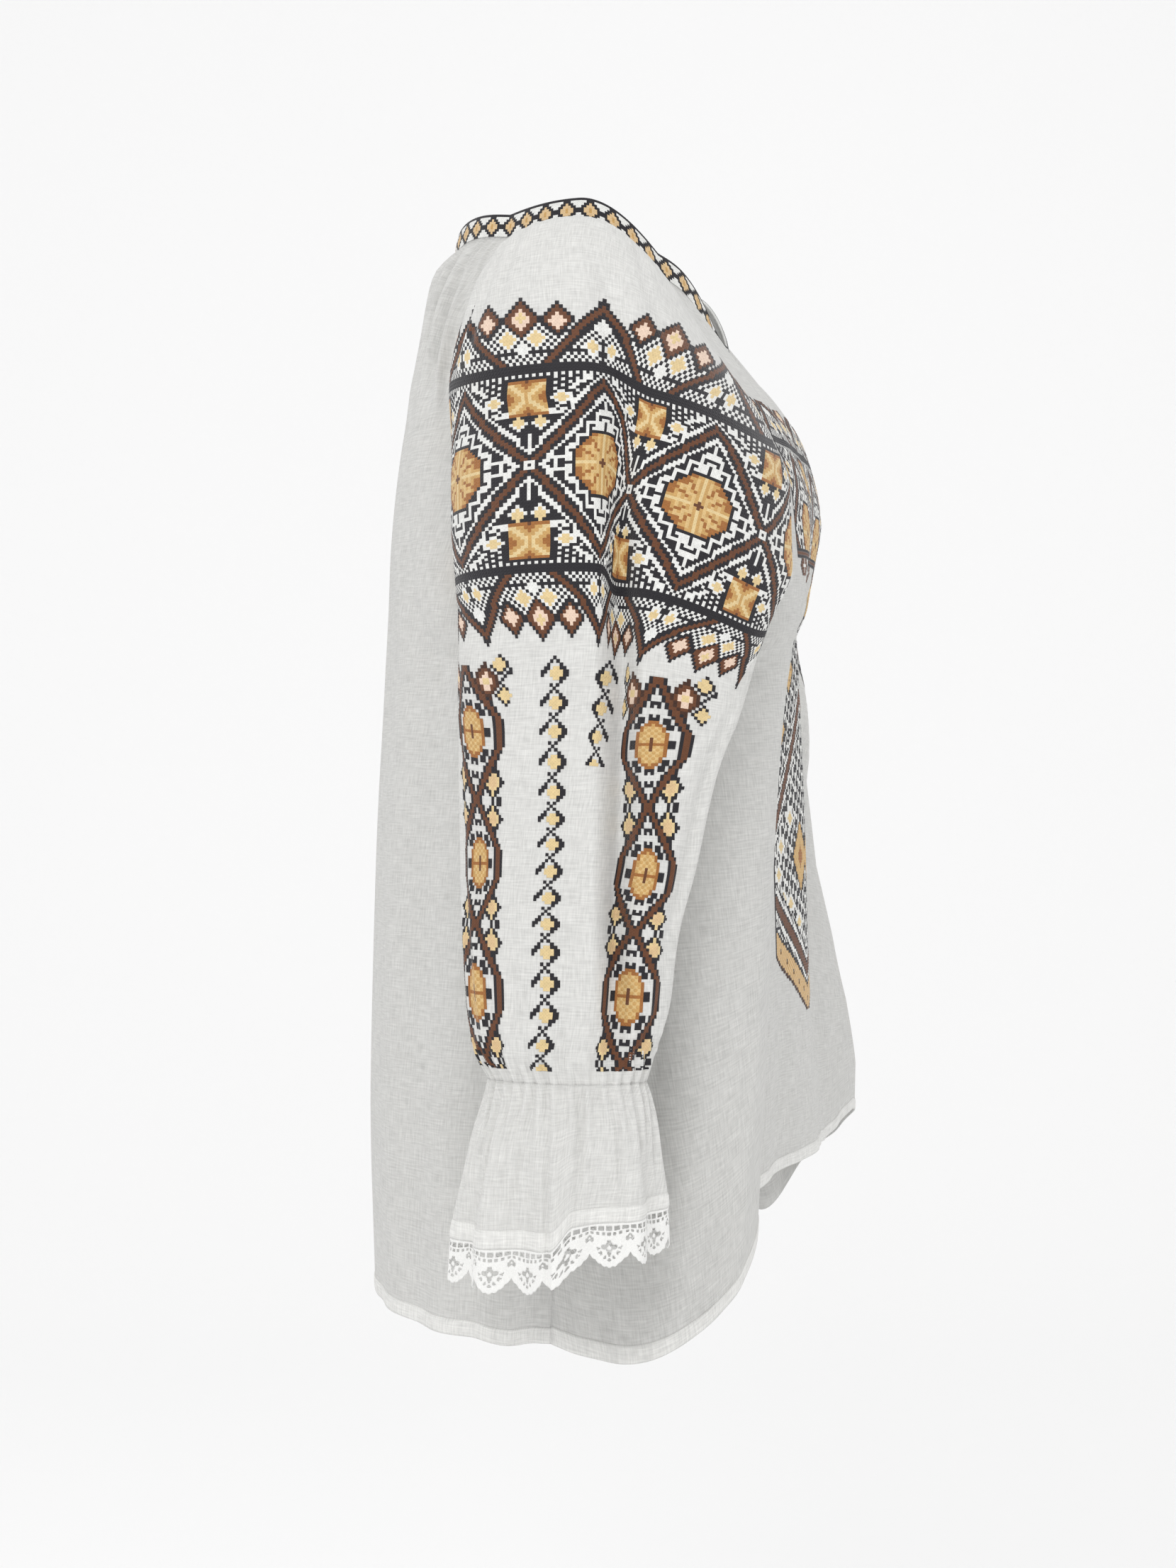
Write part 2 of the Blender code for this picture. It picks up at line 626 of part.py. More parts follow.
def sleeve_sheets(side):
    """A sleeve, its ruffle and the two halves of its lace."""
    sleeve = sleeve_rings()
    ruffle = ruffle_rings(sleeve[-1])
    lace = lace_rings(ruffle[-1], ruffle[-3])
    half = (len(lace[0]) - 1) // 2
    hole_places = ((1, 1), (2, 3))
    repeat = half // (LACE_REPEATS // 2)
    holes = [(row, start + column) for start in range(0, half, repeat) for row, column in hole_places]
    if side == "left":
        holes = [(row, half - 1 - column) for row, column in holes]
    ruffle_walls = [CLOTH_WALL] * (len(ruffle) - 1) + [HEM_WALL]
    front_half = [ring[: half + 1] for ring in lace]
    back_half = [ring[half:] for ring in lace]
    lace_walls = [LACE_WALL] * len(lace)
    return [
        sheet(f"{side}_sleeve", on_side(sleeve, side), [CLOTH_WALL] * len(sleeve), "cotton"),
        sheet(f"{side}_ruffle", on_side(ruffle, side), ruffle_walls, "cotton"),
        sheet(f"{side}_lace_front", on_side(front_half, side), lace_walls, "lace", holes),
        sheet(f"{side}_lace_back", on_side(back_half, side), lace_walls, "lace", holes),
    ]


def neckband_rings(front, back, right, left):
    """The band stands on the neck edges of the four pieces and leans in a little."""
    foot = np.concatenate([front[0], right[0][1:], back[0][1:], left[0][1:]])
    foot[-1] = foot[0]
    middle = np.array([0.0, 0.5 * (foot[:, 1].max() + foot[:, 1].min()), 0.0])
    inwards = (middle - foot) * (1, 1, 0)
    inwards /= np.linalg.norm(inwards, axis=1, keepdims=True)
    top = foot + inwards * BAND_LEAN + np.array([0.0, 0.0, BAND_HEIGHT])
    top[-1] = top[0]
    return [top, foot]


def build():
    for old in list(bpy.data.objects):
        bpy.data.objects.remove(old)
    materials = {
        "cotton": make_material("off_white_cotton", (0.80, 0.79, 0.75), 0.85),
        "band": make_material("embroidered_band", (0.42, 0.33, 0.22), 0.75),
        "lace": make_material("white_lace", (0.86, 0.85, 0.82), 0.80),
    }
    front_names = ("side", "flank", "crest", "dent", "centre")
    back_names = ("side", "flank", "blade", "centre")
    front = panel(FRONT, front_names, 1, FRONT_FOLDS, FRONT_DIPS, FRONT_NECK_GATHER, 1)
    back = panel(BACK, back_names, -1, BACK_FOLDS, BACK_DIPS, BACK_NECK_GATHER, 2)
    front = [left_posed(ring, True) for ring in front]
    back = [left_posed(ring, True) for ring in back]
    walls = [CLOTH_WALL] * (len(front) - 1) + [HEM_WALL]
    sleeve = sleeve_rings()
    right, left = on_side(sleeve, "right"), on_side(sleeve, "left")
    band = neckband_rings(front, back, right, left)
    sheets = [
        sheet("front_panel", front, walls, "cotton"),
        sheet("back_panel", back, walls, "cotton"),
        sheet("neckband", band, [BAND_WALL, BAND_WALL], "band"),
        *sleeve_sheets("right"),
        *sleeve_sheets("left"),
    ]
    for piece, directions in zip(sheets, shared_directions(sheets)):
        make_object(piece, directions, materials)


build()
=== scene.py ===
"""Looks of an embroidered peasant blouse: muslin panels and raglan sleeves, cross-stitched bands,
elastic wrists with ruffles and lace, and the studio that it is shown in.

Metres, +Z up, front at -Y, the wearer's right at -X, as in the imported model.
"""

import math
from collections import namedtuple
from functools import lru_cache

import bpy
import numpy as np
from bpy.props import FloatProperty, FloatVectorProperty, IntProperty, PointerProperty
from mathutils import Matrix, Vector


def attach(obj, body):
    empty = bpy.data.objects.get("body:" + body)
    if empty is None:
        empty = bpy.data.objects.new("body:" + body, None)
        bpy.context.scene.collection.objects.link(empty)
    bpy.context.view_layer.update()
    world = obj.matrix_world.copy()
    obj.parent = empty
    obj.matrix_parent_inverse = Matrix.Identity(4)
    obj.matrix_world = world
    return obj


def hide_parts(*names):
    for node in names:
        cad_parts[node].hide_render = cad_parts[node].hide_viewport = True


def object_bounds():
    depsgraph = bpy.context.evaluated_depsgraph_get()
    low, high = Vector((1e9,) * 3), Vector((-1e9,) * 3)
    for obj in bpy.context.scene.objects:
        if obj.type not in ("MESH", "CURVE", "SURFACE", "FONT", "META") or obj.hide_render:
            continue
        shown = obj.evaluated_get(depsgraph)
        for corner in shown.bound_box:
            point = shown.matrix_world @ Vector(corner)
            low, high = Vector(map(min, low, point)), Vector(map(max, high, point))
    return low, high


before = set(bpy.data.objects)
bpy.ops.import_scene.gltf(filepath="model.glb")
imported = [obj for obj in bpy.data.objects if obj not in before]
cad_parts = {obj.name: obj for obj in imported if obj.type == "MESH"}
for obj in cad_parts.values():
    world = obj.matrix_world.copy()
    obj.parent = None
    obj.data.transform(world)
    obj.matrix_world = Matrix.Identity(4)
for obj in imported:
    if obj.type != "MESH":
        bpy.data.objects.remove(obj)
CAD_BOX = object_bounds()

bl_info = {
    "name": "Peasant Blouse",
    "version": (1, 0, 0),
    "blender": (4, 5, 0),
    "location": "View3D > Sidebar > Blouse",
    "description": "Makes the cloth, embroidery, lace and studio of a peasant blouse",
    "category": "Object",
}

BODY = "root"
UP = np.array([0.0, 0.0, 1.0])
# The neckband, in metres, and its stitches: rows down and columns in a repeat
BAND_HEIGHT = 0.015
BAND_LEAN = 0.0025
BAND_SWELL = 0.0005
BAND_THICKNESS = 0.0016
BAND_STITCH_ROWS = 9
BAND_REPEAT = 9
# Columns of the part's own grids, and columns here for each of those in a panel
PANEL_COLUMNS = 24
SLEEVE_COLUMNS = 32
PANEL_FINER = 8
GATHERS_PER_WRIST = 32
# The lace, in metres
LACE_REPEATS = 16
LACE_AT_VALLEY = 0.0165
LACE_AT_POINT = 0.0245
LACE_ROWS = 29
LACE_THICKNESS = 0.0006
# Turned hems, in metres, and the tones of the muslins. The body's tone is painted shade: it is the same
# muslin as the sleeves, darkened because the body takes less light
HEM_LIFT = 0.0006
HEM_THICKNESS = 0.0005
BODY_PAINTED_SHADE = 0.91
BODY_HEM_TINT = 1.12
RUFFLE_HEM_TINT = 1.14
# A stitch's edge and its middle above the cloth, how far it spreads over its cell and the
# smallest sum of its two diagonals
STITCH_LIFT = 0.00022
STITCH_PAD = 0.00042
STITCH_SPREAD = 1.08
SMALLEST_STITCH = 0.0016
# How sharply creases fade at their ends
CREASE_POWER = 0.8
RUFFLE_CREASE_POWER = 0.7
# The camera: degrees towards the front from the wearer's right, distance and height of its aim
CAMERA_TURN = 15.0
CAMERA_DISTANCE = 1.6
AIM_HEIGHT = -0.36
# Numbers of the rows at the armpit, hem and wrist, and the rows of the finer grids
ARMPIT_ROW = 6.0
HEM_ROW = 9.0
WRIST_ROW = 11.0
YOKE = np.linspace(0.0, ARMPIT_ROW, 61)
SKIRT = np.linspace(ARMPIT_ROW, HEM_ROW, 46)[1:]
TUBE = np.linspace(ARMPIT_ROW, WRIST_ROW, 56)[1:]


def table_of(kind, *lines):
    """A table with a named tuple of this kind for each line."""
    return tuple(kind(*line) for line in lines)


# One line of a half body: each place is x out from the middle, y and z.
FrontLine = namedtuple("FrontLine", "row side flank crest dent centre")
FRONT = table_of(
    FrontLine,
    (
        0, (.066, -.066, -.030), (.051, -.079, -.039), (.035, -.090, -.0575),
        (.018, -.0965, -.0755), (0, -.0985, -.080),
    ),
    (
        1, (.088, -.112, -.092), (.067, -.119, -.096), (.045, -.123, -.099),
        (.022, -.1245, -.100), (0, -.1245, -.100),
    ),
    (
        2, (.105, -.143, -.136), (.081, -.1465, -.136), (.055, -.1475, -.136),
        (.028, -.147, -.136), (0, -.1465, -.136),
    ),
    (
        3, (.120, -.1615, -.182), (.092, -.1635, -.183), (.062, -.163, -.184),
        (.030, -.1595, -.184), (0, -.158, -.184),
    ),
    (
        4, (.136, -.163, -.228), (.112, -.166, -.226), (.080, -.165, -.224),
        (.040, -.1575, -.223), (0, -.1535, -.222),
    ),
    (
        5, (.160, -.125, -.268), (.140, -.153, -.266), (.104, -.162, -.263),
        (.050, -.149, -.262), (0, -.1435, -.262),
    ),
    (
        6, (.176, -.040, -.300), (.163, -.113, -.298), (.120, -.157, -.294),
        (.060, -.146, -.292), (0, -.145, -.292),
    ),
    (
        7, (.191, -.038, -.400), (.188, -.116, -.400), (.142, -.1545, -.396),
        (.078, -.1405, -.391), (0, -.149, -.390),
    ),
    (
        8, (.203, -.036, -.550), (.203, -.113, -.550), (.160, -.1530, -.520),
        (.090, -.1395, -.502), (0, -.1515, -.500),
    ),
    (
        9, (.212, -.034, -.692), (.215, -.100, -.6945), (.176, -.149, -.640),
        (.100, -.1375, -.612), (0, -.158, -.605),
    ),
)
BackLine = namedtuple("BackLine", "row side flank blade centre")
BACK = table_of(
    BackLine,
    (0, (.070, .036, .0005), (.060, .058, .0035), (.036, .080, .0030), (0, .0930, -.0005)),
    (0.35, (.080, .043, -.014), (.069, .070, -.0145), (.046, .0925, -.017), (0, .1040, -.018)),
    (1, (.095, .051, -.050), (.081, .081, -.055), (.050, .1010, -.058), (0, .1110, -.060)),
    (2, (.115, .054, -.100), (.100, .087, -.104), (.061, .1075, -.107), (0, .1160, -.110)),
    (3, (.130, .049, -.150), (.118, .083, -.150), (.076, .1090, -.150), (0, .1185, -.150)),
    (4, (.145, .040, -.200), (.132, .077, -.200), (.085, .1105, -.200), (0, .1215, -.200)),
    (5, (.162, .018, -.255), (.151, .062, -.252), (.095, .1090, -.250), (0, .1235, -.250)),
    (6, (.176, -.040, -.300), (.169, .033, -.300), (.106, .1080, -.300), (0, .1245, -.300)),
    (7, (.191, -.038, -.400), (.181, .037, -.400), (.114, .1110, -.400), (0, .1270, -.400)),
    (8, (.203, -.036, -.550), (.191, .040, -.550), (.121, .1125, -.550), (0, .1310, -.550)),
    (9, (.212, -.034, -.692), (.199, .040, -.691), (.127, .1070, -.684), (0, .1310, -.684)),
)
# One ring of a sleeve: its middle, the height of its outer line, its half sizes, how far its
# front and back hang below the outer line, the turn in degrees from the outer line to each
# edge, and the turn and depth of the long pressed fold.
SleeveRing = namedtuple(
    "SleeveRing", "row x y z half_x half_y front_drop back_drop front_turn back_turn fold_turn fold"
)
SLEEVE = table_of(
    SleeveRing,
    (0.00, .000, -.0180, .0035, .0905, .0800, .100, .008, 36, 37, 9, .000),
    (0.45, .035, -.0240, -.003, .0930, .0900, .070, .025, 58, 56, 14, .000),
    (1.00, .070, -.0310, -.046, .1020, .0950, .045, .012, 80, 75, 17, .003),
    (2.00, .105, -.0410, -.102, .0950, .1040, .035, .003, 88, 88, 15, .007),
    (3.00, .140, -.0560, -.147, .0740, .1020, .035, .003, 100, 100, 11, .010),
    (4.00, .165, -.0610, -.193, .0630, .1000, .036, .004, 115, 108, 10, .012),
    (5.00, .195, -.0650, -.251, .0460, .0930, .034, .004, 140, 122, 11, .014),
    (6.00, .2190, -.0620, -.327, .0345, .0830, .022, .003, 195, 165, 17, .015),
    (7.00, .2325, -.0573, -.385, .0320, .0728, .010, .002, 195, 165, 25, .015),
    (8.00, .2430, -.0540, -.440, .0305, .0645, .004, .000, 195, 165, 32, .014),
    (9.00, .2520, -.0553, -.487, .0295, .0598, .000, .000, 195, 165, 36, .010),
    (10.0, .2585, -.0547, -.512, .0280, .0528, .000, .000, 195, 165, 38, .005),
    (11.0, .2625, -.0575, -.528, .0260, .0450, .000, .000, 195, 165, 38, .000),
)
FOLD_HALF_WIDTH = 0.016
FOLD_COLUMNS = 4
FOLD_CROWDING = 0.6
SEAM_PULL = np.array([3.0, 3.0, 2.0])
ARMPIT_HOLD = np.array([0.6, 0.6, 1.5])
# One ring of a ruffle: level, middle, half sizes, height of the gathers and of the wide waves
RuffleRing = namedtuple("RuffleRing", "z x y half_x half_y gather wave")
RUFFLE = table_of(
    RuffleRing,
    (-.528, .2625, -.0575, .0260, .0450, .0017, .0000),
    (-.540, .2650, -.0585, .0285, .0480, .0019, .0005),
    (-.558, .2690, -.0588, .0310, .0525, .0011, .0018),
    (-.582, .2722, -.0588, .0337, .0563, .0003, .0033),
    (-.602, .2745, -.0587, .0355, .0592, .0000, .0045),
    (-.613, .2753, -.0587, .0363, .0603, .0000, .0048),
)
RUFFLE_WAVES = 8
# Narrow folds that run down from the wrist: their turn at the wrist and at the hem, their rise,
# half width in degrees and the share of the ruffle's height that they reach
RuffleCrease = namedtuple("RuffleCrease", "top_turn foot_turn rise half_width reach")
RUFFLE_CREASES = table_of(
    RuffleCrease,
    (-150, -148, -.0016, 5.0, .8),
    (-122, -126, -.0018, 4.5, 1.1),
    (-96, -90, -.0015, 4.0, .6),
    (-70, -76, -.0019, 4.0, 1.0),
    (-56, -52, -.0013, 3.0, .5),
    (-43, -50, -.0024, 4.0, 1.2),
    (-30, -26, -.0014, 3.0, .6),
    (-17, -24, -.0021, 3.5, .9),
    (-4, 2, -.0034, 3.5, 1.5),
    (8, 14, -.0015, 3.0, .5),
    (19, 17, -.0024, 4.0, 1.0),
    (33, 40, -.0014, 3.0, .6),
    (46, 44, -.0021, 3.5, 1.2),
    (62, 70, -.0016, 4.0, .7),
    (88, 92, -.0019, 4.5, 1.0),
    (118, 114, -.0014, 4.0, .6),
    (146, 150, -.0018, 5.0, .9),
)
LAP_TURN = 3.0
LAP_WIDTH = 12.0
LAP_RISE = 0.012
LAP_SET_BACK = 0.004
RUFFLE_HEM_TILT = 0.005
RUFFLE_LOW_TURN = -45.0
# How far the wearer's left front stands back, by depth below the origin
LeftPose = namedtuple("LeftPose", "depth set_back")
LEFT_POSE = table_of(
    LeftPose,
    (.00, .004),
    (.03, .016),
    (.06, .012),
    (.09, .006),
    (.13, .010),
    (.17, .020),
    (.21, .037),
    (.25, .0545),
    (.29, .042),
    (.34, .029),
    (.42, .021),
    (.47, .010),
    (.53, .000),
    (.60, -.008),
)
LEFT_HEM_RISE = 0.046
LEFT_SLEEVE_OUT = 0.4
# A soft fold in a panel: its place across at top and foot, first and last row, rise, half width
PanelFold = namedtuple("PanelFold", "top_across foot_across first_row last_row rise half_width")
FRONT_FOLDS = table_of(
    PanelFold,
    (.12, .10, 7.3, 9.6, .006, .045),
    (.20, .21, 7.0, 9.6, -.005, .040),
    (.42, .40, 7.2, 9.6, .003, .035),
    (.60, .62, 7.0, 9.6, .004, .035),
    (.86, .885, 7.3, 9.8, .006, .045),
    (.93, .95, 7.2, 9.8, -.004, .035),
)
BACK_FOLDS = table_of(
    PanelFold,
    (.06, .07, 6.8, 9.8, -.006, .045),
    (.15, .16, 6.4, 9.8, .005, .050),
    (.27, .25, 2.0, 9.6, .004, .050),
    (.42, .40, 3.0, 9.6, -.004, .045),
    (.58, .60, 2.6, 9.6, .004, .050),
    (.74, .76, 2.0, 9.6, -.004, .045),
    (.86, .85, 6.4, 9.8, .005, .050),
    (.94, .93, 6.8, 9.8, -.006, .045),
)
# Fine creases that only the cloth shows
FRONT_CREASES = table_of(
    PanelFold,
    (.075, .05, 6.3, 8.6, -.0016, .016),
    (.155, .15, 6.6, 9.4, .0014, .018),
    (.255, .27, 6.9, 9.2, -.0017, .020),
    (.335, .33, 7.4, 9.7, .0015, .020),
    (.475, .47, 8.0, 9.6, -.0013, .018),
    (.545, .55, 7.7, 9.5, .0012, .018),
    (.690, .70, 6.8, 9.3, -.0016, .020),
    (.775, .79, 7.2, 9.6, .0015, .018),
    (.900, .915, 6.4, 8.9, -.0015, .014),
)
BACK_CREASES = table_of(
    PanelFold,
    (.085, .050, 0.0, 2.6, -.0046, .030),
    (.160, .110, 0.0, 2.2, -.0042, .028),
    (.235, .190, 0.0, 1.9, -.0036, .026),
    (.125, .080, 0.1, 2.0, .0016, .016),
    (.200, .150, 0.1, 1.7, .0014, .016),
    (.780, .820, 0.0, 2.0, -.0036, .028),
    (.870, .920, 0.0, 2.4, -.0040, .030),
    (.035, .03, 6.2, 8.8, .0014, .014),
    (.105, .11, 6.6, 9.5, -.0014, .016),
    (.205, .20, 3.4, 8.4, -.0013, .018),
    (.335, .33, 2.4, 7.0, .0013, .018),
    (.495, .50, 1.6, 9.3, .0014, .018),
    (.655, .67, 2.2, 8.0, -.0013, .018),
    (.800, .80, 3.6, 9.2, .0013, .016),
    (.890, .90, 6.5, 9.4, -.0013, .014),
)
# Fine pleats under the neckband: how many, how deep and how many rows they run
NeckPleats = namedtuple("NeckPleats", "count depth rows")
SLEEVE_PLEATS = NeckPleats(21, 0.0010, 1.0)
HemDip = namedtuple("HemDip", "across depth half_width")
FRONT_DIPS = table_of(HemDip, (.080, .0235, .055), (.16, -.006, .05), (.80, .004, .08))
BACK_DIPS = table_of(HemDip, (.07, .004, .05), (.95, .004, .04), (.35, .003, .08))
# A panel: its lines, the names of their places from the side in, whether it starts on the
# wearer's left, its folds, creases and low places, and the height and number of its gathers
Panel = namedtuple("Panel", "lines names from_left folds creases dips gather gathers pleats")
PANELS = {
    "front": Panel(
        FRONT, ("side", "flank", "crest", "dent", "centre"), True, FRONT_FOLDS, FRONT_CREASES,
        FRONT_DIPS, 0.0010, 6, NeckPleats(19, 0.0007, 0.9),
    ),
    "back": Panel(
        BACK, ("side", "flank", "blade", "centre"), False, BACK_FOLDS, BACK_CREASES,
        BACK_DIPS, 0.0026, 12, NeckPleats(31, 0.0013, 1.7),
    ),
}
# A crease of the sleeve: turns at its top and foot, first and last row, rise, half width in degrees
SleeveCrease = namedtuple("SleeveCrease", "top_turn foot_turn first_row last_row rise half_width")
SLEEVE_CREASES = table_of(
    SleeveCrease,
    (-40, -60, .10, 2.1, -.0048, 8),
    (-30, -45, .10, 1.9, -.0030, 5),
    (-20, -30, .10, 1.5, -.0018, 4),
    (24, 40, .10, 1.8, -.0020, 5),
    (-78, -60, 5.2, 9.6, -.0020, 11),
    (-58, -47, 7.2, 10.6, .0012, 7),
    (-27, -24, 5.6, 8.4, -.0009, 7),
    (-25, -20, 8.2, 10.8, -.0014, 6),
    (-12, -12, 8.7, 10.8, .0011, 5),
    (3, 6, 7.8, 10.7, -.0013, 6),
    (16, 20, 8.8, 10.8, .0012, 5),
    (57, 62, 6.0, 9.4, .0016, 9),
    (74, 74, 5.4, 8.4, -.0024, 10),
    (92, 84, 4.6, 8.8, .0020, 11),
    (120, 104, 5.6, 9.8, -.0026, 13),
    (150, 136, 6.4, 10.4, .0020, 13),
    (-104, -92, 5.4, 9.2, .0018, 12),
    (-138, -120, 6.0, 10.2, -.0022, 13),
    (70, 58, 8.4, 10.7, -.0012, 6),
    (84, 88, 9.0, 10.8, .0012, 7),
)

# Where the stitches of the shoulder band lie on the sleeve: for each stitch row down from the
# band's top line, the turn in degrees of some stitch columns, and the ring row of some columns.
BAND_COLUMNS = (-88, -66, -44, -22, 0, 22, 44, 66, 88)
BandTurns = namedtuple("BandTurns", "stitch m88 m66 m44 m22 mid p22 p44 p66 p88")
BAND_TURNS = table_of(
    BandTurns,
    (-24, -108, -79, -52.3, -17.4, 15.2, 47, 78, 104, 128),
    (-19, -107, -78, -51.6, -17.0, 14.0, 44, 75.4, 98, 120),
    (0, -100, -73, -47.4, -15.9, 10.7, 25.6, 49.0, 84.7, 110),
    (10, -108, -77, -52.5, -19.4, 8.0, 21.8, 46.0, 76.7, 106),
    (32, -130, -97, -63.9, -21.3, 4.7, 13.6, 37.7, 66.1, 96),
    (54, -135, -98, -63.5, -22.2, 3.8, 8.9, 33.0, 60.0, 93),
    (64, -136, -98, -61.0, -23.0, 3.3, 8.6, 30.5, 59.5, 93),
    (83, -124, -84, -45.1, -17.0, 4.5, 10.0, 21.3, 46.0, 74.7),
    (88, -122, -82, -43.0, -16.5, 4.8, 10.2, 20.0, 44.0, 72.0),
)
BAND_ROW_COLUMNS = (-44, 0, 22, 66, 88)
BandRows = namedtuple("BandRows", "stitch m44 mid p22 p66 p88")
BAND_ROWS = table_of(
    BandRows,
    (-24, 1.02, 1.18, 1.00, .75, .70),
    (-19, 1.25, 1.40, 1.22, .97, .90),
    (0, 2.20, 2.20, 2.45, 2.32, 2.25),
    (10, 2.62, 2.62, 2.87, 2.77, 2.70),
    (32, 3.52, 3.55, 3.85, 3.80, 3.76),
    (54, 4.42, 4.46, 4.60, 4.68, 4.66),
    (64, 4.70, 4.75, 4.95, 4.97, 4.95),
    (83, 5.30, 5.33, 5.45, 5.48, 5.50),
    (88, 5.44, 5.48, 5.60, 5.63, 5.65),
)
# The same for the stripes that run down from the band to the wrist
STRIPE_COLUMNS = (-88, -66, -54, -44, -34, -19, -14, -9, 9, 14, 19, 34, 44, 54, 66, 88)
StripeTurns = namedtuple(
    "StripeTurns", "stitch m88 m66 m54 m44 m34 m19 m14 m9 p9 p14 p19 p34 p44 p54 p66 p88"
)
STRIPE_TURNS = table_of(
    StripeTurns,
    (84, -136, -110, -90, -68, -44, -18.5, -12, -5.8, 4.4, 8.8, 12.4, 17.2, 29, 45, 69, 100),
    (91, -134, -108, -88, -65, -42, -18, -11.6, -5.4, 4.5, 8.8, 12.6, 17.5, 29.9, 47, 70, 101),
    (113, -128, -100, -77, -55.4, -35.4, -16.8, -10.2, -3.8, 4.5, 8.6, 12.4, 18.8, 32.1, 50.9, 73, 104),
    (134, -124, -96, -72, -50.9, -34, -14.4, -7.6, -0.9, 6, 11, 15, 25.5, 37.7, 54.5, 77, 108),
    (155, -120, -92, -66, -47.1, -33.5, -12.8, -5.6, 1.6, 9, 13, 17, 28.5, 43.6, 62, 84, 114),
    (197, -122, -98, -84, -56, -32.5, -13.5, -5, 3.5, 11, 15, 19, 27.5, 43.5, 66, 88, 118),
    (224, -120, -96, -74, -50, -34, -16, -7.4, 1.2, 12, 17, 21, 31, 54, 88, 108, 130),
)
StripeRows = namedtuple("StripeRows", "stitch outer front")
STRIPE_ROWS = table_of(
    StripeRows,
    (84, 5.32, 5.40),
    (91, 5.50, 5.60),
    (113, 6.06, 6.20),
    (134, 6.75, 6.81),
    (155, 7.36, 7.42),
    (197, 8.80, 8.80),
    (222, 10.55, 10.55),
)

# Thread colours as they look on screen, 0 to 255
Thread = namedtuple("Thread", "name red green blue")
THREADS = table_of(
    Thread,
    ("none", 0, 0, 0),
    ("black", 33, 31, 36),
    ("brown", 102, 62, 38),
    ("dark_brown", 66, 40, 28),
    ("gold", 198, 158, 98),
    ("deep_gold", 158, 103, 52),
    ("yellow", 222, 198, 148),
    ("blush", 230, 204, 184),
    ("beige", 216, 186, 142),
    ("white", 229, 229, 226),
    ("light_gold", 214, 182, 126),
)
(
    NONE, BLACK, BROWN, DARK_BROWN, GOLD, DEEP_GOLD, YELLOW, BLUSH, BEIGE, WHITE, LIGHT_GOLD,
) = range(len(THREADS))


class ClothSettings(bpy.types.PropertyGroup):
    """The muslin, its hems and its stitches."""

    thickness: FloatProperty(
        name="Cloth thickness", description="Thickness of the muslin",
        default=0.0007, min=0.0002, max=0.003, unit="LENGTH", precision=4,
    )
    stitch: FloatProperty(
        name="Stitch size", description="Side of one cross stitch",
        default=0.00181, min=0.001, max=0.004, unit="LENGTH", precision=5,
    )
    hem: FloatProperty(
        name="Hem depth", description="Depth of the turned hem of the body and the ruffles",
        default=0.0095, min=0.004, max=0.03, unit="LENGTH", precision=4,
    )
    thread_pitch: FloatProperty(
        name="Thread pitch", description="Distance between the muslin's threads",
        default=0.00055, min=0.0002, max=0.002, unit="LENGTH", precision=5,
    )
    sleeve_columns: IntProperty(
        name="Sleeve columns", description="Columns of faces round a sleeve",
        default=320, min=128, max=512,
    )
    cloth_colour: FloatVectorProperty(
        name="Cloth colour", description="Colour of the muslin", subtype="COLOR",
        default=(0.648, 0.645, 0.626), min=0.0, max=1.0, size=3,
    )
    lace_colour: FloatVectorProperty(
        name="Lace colour", description="Colour of the lace", subtype="COLOR",
        default=(0.84, 0.838, 0.82), min=0.0, max=1.0, size=3,
    )


class StudioSettings(bpy.types.PropertyGroup):
    """Floor, lights and camera."""

    floor_drop: FloatProperty(
        name="Floor below the hem", description="Height of the blouse's hem above the floor",
        default=0.55, min=0.0, max=2.0, unit="LENGTH",
    )
    floor_colour: FloatVectorProperty(
        name="Floor colour", description="Colour of the floor and backdrop", subtype="COLOR",
        default=(0.97, 0.97, 0.97), min=0.0, max=1.0, size=3,
    )
    lens: FloatProperty(
        name="Lens", description="Focal length of the camera", default=53.7, min=20.0, max=200.0,
    )
    key_power: FloatProperty(
        name="Key light", description="Power of the soft light beside the camera", default=20.0,
        min=0.0, max=500.0, unit="POWER",
    )
    fill_power: FloatProperty(
        name="Fill light", description="Power of the fill light", default=6.0,
        min=0.0, max=500.0, unit="POWER",
    )
    world_strength: FloatProperty(
        name="Surroundings", description="Strength of the even light all round", default=0.87,
        min=0.0, max=5.0,
    )


def steady_curve(knots, values, at):
    """A curve through the values with no overshoot: cubic pieces whose slope at each knot is
    the harmonic mean of the slopes beside it, or zero where those differ in sign."""
    knots = np.asarray(knots, float)
    values = np.asarray(values, float)
    width = np.diff(knots)
    steps = np.diff(values, axis=0) / width[:, None]
    before, after = steps[:-1], steps[1:]
    with np.errstate(divide="ignore", invalid="ignore"):
        mean = 2.0 * before * after / (before + after)
    slopes = np.zeros_like(values)
    slopes[1:-1] = np.where(before * after > 0.0, mean, 0.0)
    slopes[0] = steps[0]
    slopes[-1] = steps[-1]
    at = np.asarray(at, float)
    piece = np.clip(np.searchsorted(knots, at, side="right") - 1, 0, len(width) - 1)
    span = width[piece][:, None]
    t = ((at - knots[piece])[:, None]) / span
    return (
        (1 + 2 * t) * (1 - t) ** 2 * values[piece]
        + t * (1 - t) ** 2 * span * slopes[piece]
        + t * t * (3 - 2 * t) * values[piece + 1]
        + t * t * (t - 1) * span * slopes[piece + 1]
    )


